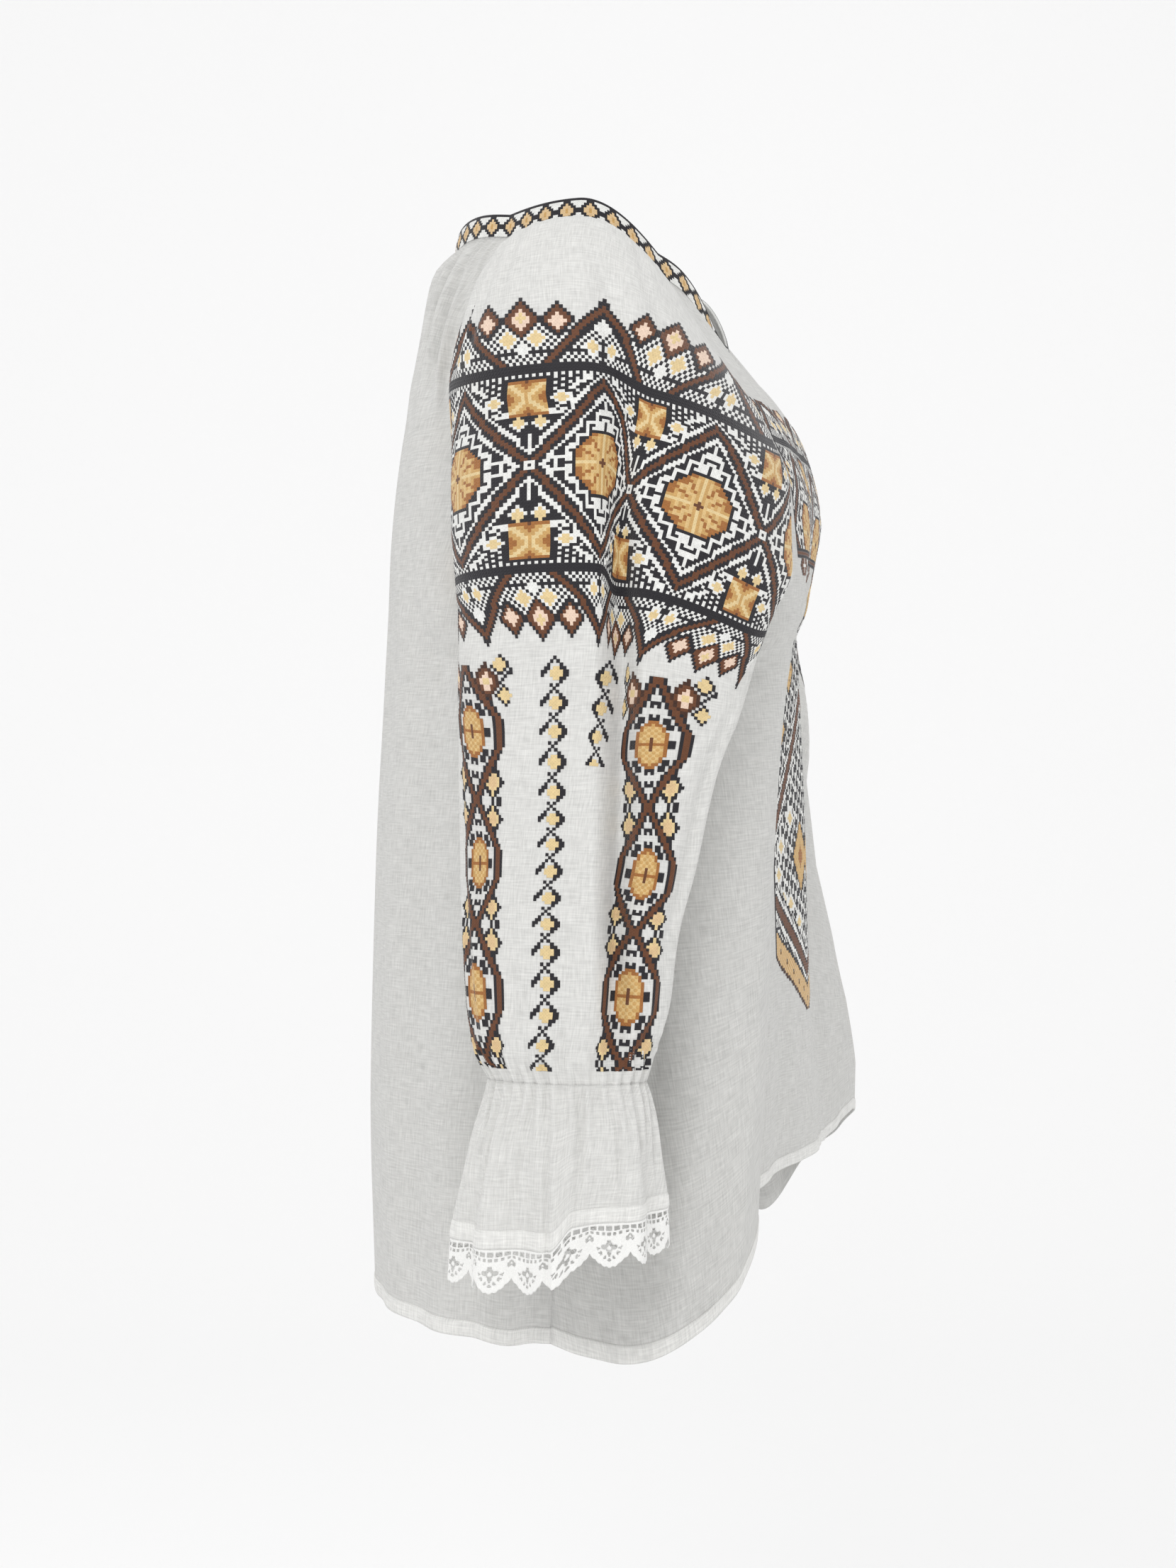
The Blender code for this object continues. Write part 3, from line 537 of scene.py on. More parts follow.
def smooth_curve(values, at):
    """The natural cubic spline through values at knots 0, 1, 2 and so on."""
    count = len(values)
    system = np.eye(count)
    bends = np.zeros_like(values)
    for i in range(1, count - 1):
        system[i, i - 1 : i + 2] = (1.0, 4.0, 1.0)
        bends[i] = 6.0 * (values[i + 1] - 2.0 * values[i] + values[i - 1])
    second = np.linalg.solve(system, bends)
    piece = np.clip(at.astype(int), 0, count - 2)
    t = (at - piece)[:, None]
    back = 1.0 - t
    return (
        back * values[piece]
        + t * values[piece + 1]
        + ((back**3 - back) * second[piece] + (t**3 - t) * second[piece + 1]) / 6.0
    )


def ease(t):
    """0 to 1 with a level start and finish."""
    t = np.clip(t, 0.0, 1.0)
    return t * t * (3.0 - 2.0 * t)


def bump(distance, half_width):
    """1 at the middle, falling smoothly to 0 at the half width."""
    t = np.clip(np.abs(distance) / half_width, 0.0, 1.0)
    return 0.5 + 0.5 * np.cos(math.pi * t)


def outward(grid):
    """Unit directions square to a grid: the cross product of its steps along and down."""
    down = np.gradient(grid, axis=0)
    along = np.gradient(grid, axis=1)
    normal = np.cross(along, down)
    size = np.linalg.norm(normal, axis=2, keepdims=True)
    return normal / np.where(size > 0.0, size, 1.0)


def unit_vectors(vectors):
    """Vectors divided by their lengths."""
    return vectors / np.linalg.norm(vectors, axis=-1, keepdims=True)


def outward_from_middle(grid):
    """As outward, and turned round where that makes them look away from each row's middle."""
    normals = outward(grid)
    if np.sum(normals * (grid - grid.mean(axis=1, keepdims=True))) < 0.0:
        normals = -normals
    return normals


def lengths_along(points):
    """The length from the first point of a line to each of its points."""
    return np.concatenate([[0.0], np.cumsum(np.linalg.norm(np.diff(points, axis=0), axis=1))])


def lengths_across(grid):
    """The length along each row of a grid to each point, less that to its middle column."""
    along = np.linalg.norm(np.diff(grid, axis=1), axis=2)
    along = np.concatenate([np.zeros((len(grid), 1)), np.cumsum(along, axis=1)], axis=1)
    return along - along[:, along.shape[1] // 2][:, None]


def read_at(at, knots, points):
    """Points of a line at places between its knots, on straight lines from knot to knot."""
    return np.column_stack([np.interp(at, knots, points[:, k]) for k in range(3)])


def places(panel):
    """The control points of a panel: one row for each line, from one side seam to the other."""
    net = []
    for line in panel.lines:
        half = [np.array(getattr(line, name)) for name in panel.names]
        far = [point * (-1, 1, 1) for point in half]
        first, second = (half, far) if panel.from_left else (far, half)
        net.append(first + second[-2::-1])
    return np.array(net, float)


def fading_in(length):
    """How strong a fold is along its length: nothing at its top and full from five eighths on."""
    return ease(length * 1.6)


def fading_at_ends(length):
    """How strong a crease is along its length: half a wave, sharpened by a power."""
    return np.sin(math.pi * length) ** CREASE_POWER


def fold_rise(folds, rows, across, strength):
    """The sum of the folds: each is a bump about its slanting line, as high as its rise times
    its strength at that share of its length."""
    rise = np.zeros((len(rows), len(across)))
    for fold in folds:
        length = np.clip((rows - fold.first_row) / (fold.last_row - fold.first_row), 0.0, 1.0)
        place = fold.top_across + (fold.foot_across - fold.top_across) * length
        height = fold.rise * strength(length)
        rise += height[:, None] * bump(across[None, :] - place[:, None], fold.half_width)
    return rise


def pleat_rise(pleats, rows, across):
    """Pleats under the neckband: a cosine across, bent by a slower one so that no two are
    alike, that starts at the band and dies away within the given rows."""
    bend = across + 0.011 * np.sin(across * 23.0) + 0.007 * np.sin(across * 41.0 + 1.3)
    uneven = 0.75 + 0.25 * np.sin(across * 57.0 + 0.8)
    wave = np.cos(2.0 * math.pi * pleats.count * bend) * uneven
    reach = pleats.rows * (0.8 + 0.25 * np.sin(across * 31.0))
    fade = ease(rows / 0.10)[:, None] * (1.0 - ease(rows[:, None] / reach[None, :]))
    return pleats.depth * fade * wave[None, :]


@lru_cache
def panel_grid(name):
    """The front or back panel, and its row numbers: smooth curves through its places, its
    folds, creases, pleats and gathers moved out along the surface's own direction, and the low
    places of its hem."""
    panel = PANELS[name]
    rows = np.concatenate([YOKE, SKIRT])
    net = places(panel)
    count = PANEL_COLUMNS * PANEL_FINER
    columns = np.linspace(0.0, net.shape[1] - 1.0, count + 1)
    across = np.linspace(0.0, 1.0, count + 1)
    controls = steady_curve([line.row for line in panel.lines], net.reshape(len(net), -1), rows)
    controls = controls.reshape(len(rows), net.shape[1], 3)
    grid = np.array([smooth_curve(line, columns) for line in controls])
    rise = fold_rise(panel.folds, rows, across, fading_in)
    rise += fold_rise(panel.creases, rows, across, fading_at_ends)
    rise += pleat_rise(panel.pleats, rows, across)
    fade = ease(rows / 0.5) * (1.0 - ease((rows - 0.5) / 2.4))
    rise += panel.gather * fade[:, None] * np.cos(2.0 * math.pi * panel.gathers * across)[None, :]
    edge = ease(across / 0.05) * ease((1.0 - across) / 0.05)
    grid = grid + outward(grid) * (rise * edge[None, :])[:, :, None]
    low = ease((rows - 8.0) / 1.0)
    for dip in panel.dips:
        depth = dip.depth * low[:, None]
        grid[:, :, 2] -= depth * bump(across - dip.across, dip.half_width)[None, :]
    return left_posed(grid, True), rows


def ring_turns(count, front_turn, back_turn, fold_turn, evenness):
    """Turns in degrees of a ring's columns, from its front edge past the outer line to its back
    edge. One column always lies in the pressed fold. evenness 1 spaces the columns evenly."""
    half = count // 2
    fold = FOLD_COLUMNS * half // (SLEEVE_COLUMNS // 2)
    t = np.arange(1, half - fold + 1) / (half - fold)
    crowded = (1.0 - FOLD_CROWDING) * t + FOLD_CROWDING * t**2
    front = np.concatenate(
        [fold_turn * np.arange(fold + 1) / fold, fold_turn + (front_turn - fold_turn) * crowded]
    )
    even = front_turn * np.arange(half + 1) / half
    front = front + evenness * (even - front)
    back = np.arange(1, half + 1) / half
    return np.concatenate([front[::-1], -back * back_turn])


def gather_heights(count, height):
    """Small gathers round a ring, of slightly uneven height."""
    index = np.arange(count + 1)
    turn = 2.0 * math.pi * index * GATHERS_PER_WRIST / count
    uneven = 0.78 + 0.22 * np.sin(index * 37.0 * 2.0 * math.pi / count)
    return height * uneven * np.cos(turn)


def ellipse(x, y, half_x, half_y, degrees, rise):
    """Points of an ellipse at these turns, moved out of it by rise, with x out from the body."""
    turn = np.radians(degrees)
    normal = unit_vectors(np.stack([np.cos(turn) / half_x, -np.sin(turn) / half_y], axis=1))
    ring = np.stack([x + half_x * np.cos(turn), y - half_y * np.sin(turn)], axis=1)
    return ring + normal * np.asarray(rise)[:, None]


def seam_points(lines, rows):
    """The side edge of a panel at these rows, on the steady curve through its lines."""
    sides = [line.side for line in lines]
    return steady_curve([line.row for line in lines], sides, rows)


def sleeve_ring(row, count):
    """One ring of the sleeve, x out from the body, and the turns of its points: an ellipse with
    its front and back hanging lower, its pressed fold, creases and wrist gathers and, above the
    armpit, its two edges brought onto the seams with the front and the back."""
    ring = SleeveRing(*steady_curve([r.row for r in SLEEVE], SLEEVE, [row])[0])
    evenness = ease((row - 9.0) / 1.5)
    turns = ring_turns(count, ring.front_turn, ring.back_turn, ring.fold_turn, evenness)
    rise = -ring.fold * bump(np.radians(turns - ring.fold_turn) * ring.half_y, FOLD_HALF_WIDTH)
    rise += gather_heights(count, RUFFLE[0].gather * ease((row - 9.0) / 1.8))
    rise += sleeve_crease_rise(row, turns)
    s = np.linspace(0.0, 1.0, count + 1)
    edge = ease(s / 0.06) * ease((1.0 - s) / 0.06)
    rise += pleat_rise(SLEEVE_PLEATS, np.array([row]), s)[0] * edge
    flat = ellipse(ring.x, ring.y, ring.half_x, ring.half_y, turns, rise)
    lean = np.sin(np.radians(np.clip(turns, -90.0, 90.0))) ** 2
    z = ring.z - np.where(turns > 0, ring.front_drop, ring.back_drop) * lean
    points = np.column_stack([flat, z])
    seam_row = min(row, ARMPIT_ROW)
    ends = (seam_points(FRONT, [seam_row])[0], seam_points(BACK, [seam_row])[0])
    hold = 1.0 - ease((row - ARMPIT_ROW) / ARMPIT_HOLD)
    front_share = np.clip(1.0 - 2.0 * s, 0.0, 1.0)[:, None] ** SEAM_PULL
    back_share = front_share[::-1]
    points = (
        points
        + front_share * hold * (ends[0] - points[0])
        + back_share * hold * (ends[1] - points[-1])
    )
    if row >= ARMPIT_ROW:
        points[-1] = points[0]
    return points, turns


def sleeve_crease_rise(row, turns):
    """The sleeve's creases at one ring: each follows its slanting line and fades at both ends."""
    rise = np.zeros(len(turns))
    for crease in SLEEVE_CREASES:
        length = (row - crease.first_row) / (crease.last_row - crease.first_row)
        if 0.0 < length < 1.0:
            place = crease.top_turn + (crease.foot_turn - crease.top_turn) * length
            strength = crease.rise * math.sin(math.pi * length) ** CREASE_POWER
            rise += strength * bump(turns - place, crease.half_width)
    return rise


def ruffle_ring(ring, count, below_wrist):
    """One ring of the ruffle: an ellipse with gathers, wide waves, a lap and a tilted hem."""
    turns = ring_turns(count, SLEEVE[-1].front_turn, SLEEVE[-1].back_turn, LAP_TURN, 1.0)
    wave = np.cos(2.0 * math.pi * RUFFLE_WAVES * np.arange(count + 1) / count + 0.6)
    lap = ease((turns - LAP_TURN) / LAP_WIDTH) * (1.0 - ease((turns - 120.0) / 60.0))
    rise = gather_heights(count, ring.gather) + ring.wave * wave
    rise -= LAP_SET_BACK * lap * below_wrist
    for crease in RUFFLE_CREASES:
        length = min(below_wrist / crease.reach, 1.0)
        place = crease.top_turn + (crease.foot_turn - crease.top_turn) * below_wrist
        strength = crease.rise * math.sin(math.pi * length) ** RUFFLE_CREASE_POWER
        rise += strength * bump(turns - place, crease.half_width)
    flat = ellipse(ring.x, ring.y, ring.half_x, ring.half_y, turns, rise)
    tilt = RUFFLE_HEM_TILT * np.cos(np.radians(turns - RUFFLE_LOW_TURN)) - LAP_RISE * lap
    points = np.column_stack([flat, ring.z - tilt * below_wrist])
    points[-1] = points[0]
    return points


def left_posed(points, is_body):
    """The wearer's left front stands back, its sleeve hangs a little further out, and the left
    front of the body's hem is higher."""
    x, y, z = np.moveaxis(points, -1, 0)
    depths = [pose.depth for pose in LEFT_POSE]
    back = np.interp(-z, depths, [pose.set_back for pose in LEFT_POSE])
    back = back * ease(x / 0.11) * ease((0.05 - y) / 0.15)
    out = LEFT_SLEEVE_OUT * back * ease((x - 0.17) / 0.06)
    up = np.zeros_like(x)
    if is_body:
        up = LEFT_HEM_RISE * ease((x - 0.10) / 0.10) * ease(-y / 0.10) * ease((-z - 0.47) / 0.15)
    return points + np.stack([out, back, up], axis=-1)


def on_side(points, side):
    """Points with x out from the body, set on the wearer's right or left."""
    return points * (-1, 1, 1) if side == "right" else left_posed(points, False)


def grid_faces(rows, columns):
    """Quads between the points of a grid, in row order."""
    start = (np.arange(rows - 1)[:, None] * columns + np.arange(columns - 1)[None, :]).ravel()
    return np.column_stack([start, start + 1, start + columns + 1, start + columns])


def face_directions(points, faces):
    """The cross product of each face's first two sides, which looks out of its front."""
    a, b, c = points[faces[:, 0]], points[faces[:, 1]], points[faces[:, 2]]
    return np.cross(b - a, c - a)


def faces_out(points, faces, inside):
    """The faces, turned round if most of them look towards the inside points."""
    look = np.sum(face_directions(points, faces) * (points[faces[:, 0]] - inside), axis=1)
    return faces[:, ::-1] if look.sum() < 0.0 else faces


def make_piece(name, points, faces, material, maps=None, threads=None, smooth=True):
    """An object at the origin with these points and faces, its UV maps and its thread colours."""
    mesh = bpy.data.meshes.new(name)
    mesh.vertices.add(len(points))
    mesh.vertices.foreach_set("co", np.ascontiguousarray(points, np.float32).ravel())
    corners = np.ascontiguousarray(faces, np.int32).ravel()
    mesh.loops.add(len(corners))
    mesh.loops.foreach_set("vertex_index", corners)
    mesh.polygons.add(len(faces))
    starts = np.arange(0, len(corners), faces.shape[1], dtype=np.int32)
    mesh.polygons.foreach_set("loop_start", starts)
    mesh.update(calc_edges=True)
    mesh.validate()
    for label, places_uv in (maps or {}).items():
        layer = mesh.uv_layers.new(name=label)
        uv = places_uv if len(places_uv) == len(corners) else places_uv[corners]
        layer.uv.foreach_set("vector", np.ascontiguousarray(uv, np.float32).ravel())
    if threads is not None:
        colours = mesh.attributes.new("thread", "FLOAT_COLOR", "POINT")
        colours.data.foreach_set("color", np.ascontiguousarray(threads, np.float32).ravel())
    mesh.polygons.foreach_set("use_smooth", np.full(len(faces), smooth))
    mesh.materials.append(material)
    piece = bpy.data.objects.new(name, mesh)
    bpy.context.scene.collection.objects.link(piece)
    return piece


def thicken(piece, thickness):
    """A modifier that gives a piece this thickness, all of it behind its points."""
    solid = piece.modifiers.new("thickness", "SOLIDIFY")
    solid.thickness = thickness
    solid.offset = -1.0
    return piece


def cloth_maps(grid):
    """A map in metres, from the lengths along the grid's rows and down its columns, and one
    that fills the unit square for the bake."""
    along = lengths_across(grid)
    down = np.linalg.norm(np.diff(grid, axis=0), axis=2).mean(axis=1)
    down = np.concatenate([[0.0], np.cumsum(down)])
    metres = np.stack([along, np.broadcast_to(-down[:, None], along.shape)], axis=-1)
    rows, columns = along.shape
    unit = np.stack(
        np.broadcast_arrays(
            0.01 + 0.98 * np.arange(columns)[None, :] / (columns - 1),
            0.99 - 0.98 * np.arange(rows)[:, None] / (rows - 1),
        ),
        axis=-1,
    )
    return {"cloth": metres.reshape(-1, 2), "OFBake": unit.reshape(-1, 2)}


def cloth_piece(name, grid, material, thickness):
    """A thin shell on a grid of points, facing out of the ring or panel that the grid makes."""
    rows, columns = grid.shape[:2]
    points = grid.reshape(-1, 3)
    faces = grid_faces(rows, columns)
    middle = np.repeat(grid.mean(axis=1), columns, axis=0)
    faces = faces_out(points, faces, middle[faces[:, 0]])
    piece = make_piece(name, points, faces, material, cloth_maps(grid))
    return thicken(piece, thickness)


class Surface:
    """A grid of points with a key, such as a turn or a distance, that rises along each row, and
    the ring number of each row. It finds points and outward directions anywhere on the grid."""

    def __init__(self, grid, keys, rows):
        """Keeps, for even steps of the key, the column of each row that has that key."""
        self.grid = grid
        self.rows = rows
        self.low, self.high = keys[:, 0], keys[:, -1]
        self.axis = np.linspace(keys.min(), keys.max(), 3 * grid.shape[1])
        count = np.arange(grid.shape[1])
        self.columns = np.array([np.interp(self.axis, line, count) for line in keys])
        self.normals = outward_from_middle(grid)

    def between_columns(self, table, row, column):
        """A table of points or directions read in a row, between two of its columns."""
        low = np.clip(column.astype(int), 0, table.shape[1] - 2)
        t = (column - low)[..., None]
        return table[row, low] * (1.0 - t) + table[row, low + 1] * t

    def find(self, row, key):
        """Points, unit normals and whether each place lies on the grid."""
        place = np.interp(row, self.rows, np.arange(len(self.rows)))
        first = np.clip(place.astype(int), 0, len(self.rows) - 2)
        t = (place - first)[..., None]
        step = (key - self.axis[0]) / (self.axis[1] - self.axis[0])
        cell = np.clip(step.astype(int), 0, len(self.axis) - 2)
        part = np.clip(step - cell, 0.0, 1.0)
        found = []
        for offset in (0, 1):
            line = first + offset
            column = self.columns[line, cell] * (1.0 - part) + self.columns[line, cell + 1] * part
            found.append([self.between_columns(table, line, column) for table in (self.grid, self.normals)])
        points, normals = (upper * (1.0 - t) + lower * t for upper, lower in zip(*found))
        normals = unit_vectors(normals)
        on_it = (key > self.low[first]) & (key < self.high[first])
        on_it &= (row > self.rows[0]) & (row < self.rows[-1])
        return points, normals, on_it


def linear(value):
    """Screen colour from 0 to 255 as light from 0 to 1."""
    value = np.asarray(value, float) / 255.0
    return np.where(value <= 0.04045, value / 12.92, ((value + 0.055) / 1.055) ** 2.4)


def thread_table():
    """The thread colours as light, in the order of the chart's numbers."""
    return np.array([[*linear([t.red, t.green, t.blue]), 1.0] for t in THREADS])


def stitched_piece(name, chart, corners, directions, usable, material):
    """Cross stitches as small raised pads, four faces each, from a chart of thread numbers and
    the points and directions at the corners of its cells. The middle of a stitch stands proud
    of its corners. The bake map lays the cells out as the chart does."""
    rows, columns = chart.shape
    j, i = np.nonzero((chart > 0) & usable)
    quads = np.stack([corners[j + dj, i + di] for dj, di in ((0, 0), (0, 1), (1, 1), (1, 0))], axis=1)
    way = unit_vectors(directions[j, i] + directions[j + 1, i + 1])
    middle = quads.mean(axis=1)
    size = np.linalg.norm(quads[:, 0] - quads[:, 2], axis=1)
    size += np.linalg.norm(quads[:, 1] - quads[:, 3], axis=1)
    kept = size > SMALLEST_STITCH
    j, i, quads, way, middle = j[kept], i[kept], quads[kept], way[kept], middle[kept]
    spread = (quads - middle[:, None]) * STITCH_SPREAD
    quads = middle[:, None] + spread + way[:, None] * STITCH_LIFT
    top = middle + way * STITCH_PAD
    points = np.concatenate([quads, top[:, None]], axis=1).reshape(-1, 3)
    count = len(j)
    start = 5 * np.arange(count)[:, None]
    ring = np.array([[0, 1, 4], [1, 2, 4], [2, 3, 4], [3, 0, 4]])
    faces = (start[:, :, None] + ring[None]).reshape(-1, 3)
    look = np.sum(face_directions(points, faces) * np.repeat(way, 4, axis=0), axis=1)
    turned = np.repeat(look.reshape(count, 4).sum(axis=1) < 0.0, 4)
    faces[turned] = faces[turned][:, ::-1]
    threads = np.repeat(thread_table()[chart[j, i]], 5, axis=0)
    local = np.array([[0, 0], [1, 0], [1, 1], [0, 1], [0.5, 0.5]], float)
    stitch_map = np.tile(local, (count, 1))
    cell = np.repeat(np.column_stack([i, j]), 5, axis=0) + 0.04 + 0.92 * stitch_map
    unit = np.column_stack([cell[:, 0] / columns, 1.0 - cell[:, 1] / rows]) * 0.996 + 0.002
    maps = {"stitch": stitch_map, "OFBake": unit}
    return make_piece(name, points, faces, material, maps, threads, smooth=False)


# Rows that the shoulder band's chain climbs in each column
CHAIN_SLOPE = 27.0 / 22.0
# Rows from one crossing of a long stripe's chain to the next, and the row of the first crossing
# from which the rest are counted
STRIPE_REPEAT = 42.0
STRIPE_START = 113.0


def diamond(across, down, middle_across, middle_down, half_width, half_height):
    """Distance from the middle of a diamond, 1 on its edge."""
    return np.abs(across - middle_across) / half_width + np.abs(down - middle_down) / half_height


def nest(chart, where, reach, *levels):
    """Colours inside one another: each goes where the reach is no more than its level."""
    for level, colour in levels:
        chart[where & (reach <= level)] = colour


def flower(chart, where, across, down, middle_across, middle_down, size):
    """A white diamond with a yellow middle."""
    reach = diamond(across, down, middle_across, middle_down, size, size)
    nest(chart, where, reach, (1.0, WHITE), (0.70, YELLOW))


def stair(p, q, level):
    """A line of steps beside the chain: treads three stitches wide and the risers between."""
    tread = 3.0
    here = level - CHAIN_SLOPE * (np.floor(p / tread) * tread + 0.5 * tread)
    edge = np.round(p / tread)
    above = level - CHAIN_SLOPE * (edge - 0.5) * tread
    below = level - CHAIN_SLOPE * (edge + 0.5) * tread
    riser = (np.abs(p - edge * tread) < 0.6) & (q < above + 0.5) & (q > below - 0.5)
    return (np.abs(q - here) < 0.75) | riser


def shoulder_band_chart(across, down):
    """The wide band over the upper arm. Eight-sided rosettes every 44 stitches sit in large
    diamonds of brown chain, whose crossings lie between square rosettes above and below. Black
    lines edge the band at rows 0 and 64, with pointed borders beyond them."""
    chart = np.zeros(across.shape, int)
    even = (across + down) % 2 == 0
    p = np.abs(across - 44.0 * np.round(across / 44.0))
    x = 22.0 - p
    q = np.abs(down - 32.0)
    band = q <= 33.5
    chart[band] = BLACK
    chain = q + CHAIN_SLOPE * p - 27.0
    inner = band & (chain < -5.6)
    outer = band & (chain > 5.6)
    # white steps inside each large diamond
    chart[inner & stair(p, q, 27.0 - 8.6) & (chain < -6.4)] = WHITE
    # eight-sided rosette with white wedges on its four sides and squares at its corners
    reach = np.maximum(np.maximum(p / 9.2, q / 9.8), (p + q) / 13.2)
    wedge = (q > 10.6) & (q < 14.8 - 0.4 * p) & (p < 4.6) & ((p > 0.6) | (q > 13.4))
    wedge |= (p > 10.2) & (p < 14.8 - 0.6 * q) & (q < 3.4) & ((q > 0.6) | (p > 13.2))
    wedge |= (np.abs(p - 11.6) < 1.6) & (np.abs(q - 6.0) < 1.6)
    wedge |= (np.abs(p - 6.6) < 1.1) & (np.abs(q - 10.6) < 1.1)
    chart[inner & wedge & (chain < -10.2)] = WHITE
    chart[inner & (reach <= 1.12)] = BLACK
    gold = inner & (reach <= 1.0)
    chart[gold] = GOLD
    chart[gold & (across % 2 == 0) & (reach < 0.86)] = LIGHT_GOLD
    chart[gold & (p > 4.2) & (q > 5.2)] = DEEP_GOLD
    chart[gold & (p > 7.4) & (q > 1.2)] = DEEP_GOLD
    chart[gold & (q > 8.2) & (p > 2.0)] = DEEP_GOLD
    chart[gold & ((p < 0.6) | ((q < 0.6) & (p > 2.0)))] = YELLOW
    chart[gold & (np.abs(p - q) < 0.7) & (p > 2.0) & (reach < 0.8)] = LIGHT_GOLD
    chart[gold & (np.abs(p - 0.55 * q) < 0.6) & (q > 3.0) & (reach < 0.86)] = DEEP_GOLD
    chart[gold & (np.abs(q - 0.55 * p) < 0.6) & (p > 3.0) & (reach < 0.86)] = DEEP_GOLD
    chart[gold & (p + q < 1.6)] = BROWN
    # square rosette between the crossings and the edge lines
    w = np.abs(q - 22.5)
    lattice = outer & (q < 30.4) & (x > 6.8)
    chart[lattice & ((across + 2 * down) % 4 == 0)] = WHITE
    chart[lattice & (x > 12.0) & (np.abs((q - 0.8 * x) % 6.0 - 3.0) < 0.8)] = WHITE
    square = band & (x < 6.0) & (w < 6.2)
    chart[square] = GOLD
    chart[square & (np.abs(x - w) < 1.3)] = LIGHT_GOLD
    chart[square & (np.abs(x - w) < 0.7)] = YELLOW
    side = np.maximum(x, w) - 1.5 * np.minimum(x, w)
    chart[square & ((side > 2.6) | (np.maximum(x, w) > 5.2))] = DEEP_GOLD
    chart[square & (side > 4.6)] = BROWN
    chart[square & (x + w < 1.2)] = GOLD
    flower(chart, band, x, q, 9.6, 22.0, 3.1)
    flower(chart, band, x, q, 3.0, 14.2, 2.7)
    chart[band & (np.abs(x - 6.6) < 1.2) & (np.abs(q - 17.4) < 1.2)] = WHITE
    chart[band & (np.abs(x - 9.6) < 0.7) & (q > 14.5) & (q < 19.0)] = WHITE
    chart[band & (x < 0.6) & (q > 4.6) & (q < 10.6)] = WHITE
    chart[band & (np.abs(x - 1.0) < 0.4) & (q > 4.6) & (q < 11.0)] = BLACK
    # the chain, with a toothed white line on each side of it
    beside = np.abs(chain)
    chart[band & (beside <= 5.6) & (x > 2.0)] = BLACK
    chart[band & (beside > 3.1) & (beside <= 4.4) & (q < 29.6)] = WHITE
    chart[band & (beside > 4.4) & (beside <= 5.4) & even & (x > 1.6) & (q < 29.6)] = WHITE
    nest(chart, band, beside, (3.1, BLACK), (1.2, BROWN))
    chart[band & (x < 1.2) & (q < 1.2)] = WHITE
    chart[band & (x < 0.6) & (q < 0.6)] = BLACK
    chart[band & (q > 29.2)] = BLACK
    chart[band & (np.abs(q - 30.0) < 0.6) & (across % 2 == 0)] = WHITE
    # pointed borders beyond the edge lines
    h = q - 33.0
    beyond = h > 0.5
    tall = h + 1.12 * p
    chart[beyond & (tall < 15.6)] = BLACK
    chart[beyond & (tall < 14.8) & even & (h != 4.0)] = WHITE
    flower(chart, beyond & (tall < 15.4), p, h, 3.2, 5.4, 2.9)
    chart[beyond & (p < 0.6) & (h < 9.0)] = BLACK
    chart[beyond & (diamond(p, h, 0.0, 12.0, 2.1, 2.1) < 1.0)] = WHITE
    group = beyond & (tall > 20.0) & (x < 13.0)
    fill = group & (h < 12.6 - np.maximum(x - 9.0, 0.0) * 0.3)
    chart[fill] = BLACK
    chart[fill & even & (h != 4.0)] = WHITE
    chart[fill & (diamond(x, h, 0.0, 4.6, 2.4, 2.4) < 1.0)] = WHITE
    flower(chart, fill, x, h, 4.0, 8.0, 2.9)
    for middle, rise, size, heart in ((0.0, 13.6, 5.8, YELLOW), (10.0, 13.4, 5.0, BLUSH)):
        reach = diamond(x, h, middle, rise, size, size)
        nest(chart, beyond, reach, (1.0, BLACK), (0.84, BROWN), (0.50, BLUSH), (0.26, heart))
    chart[beyond & (np.abs(tall - 17.9) < 2.3)] = BLACK
    chart[beyond & (np.abs(tall - 17.9) < 1.1)] = BROWN
    chart[(h > 20.8) | (np.abs(across) > 88)] = NONE
    return chart


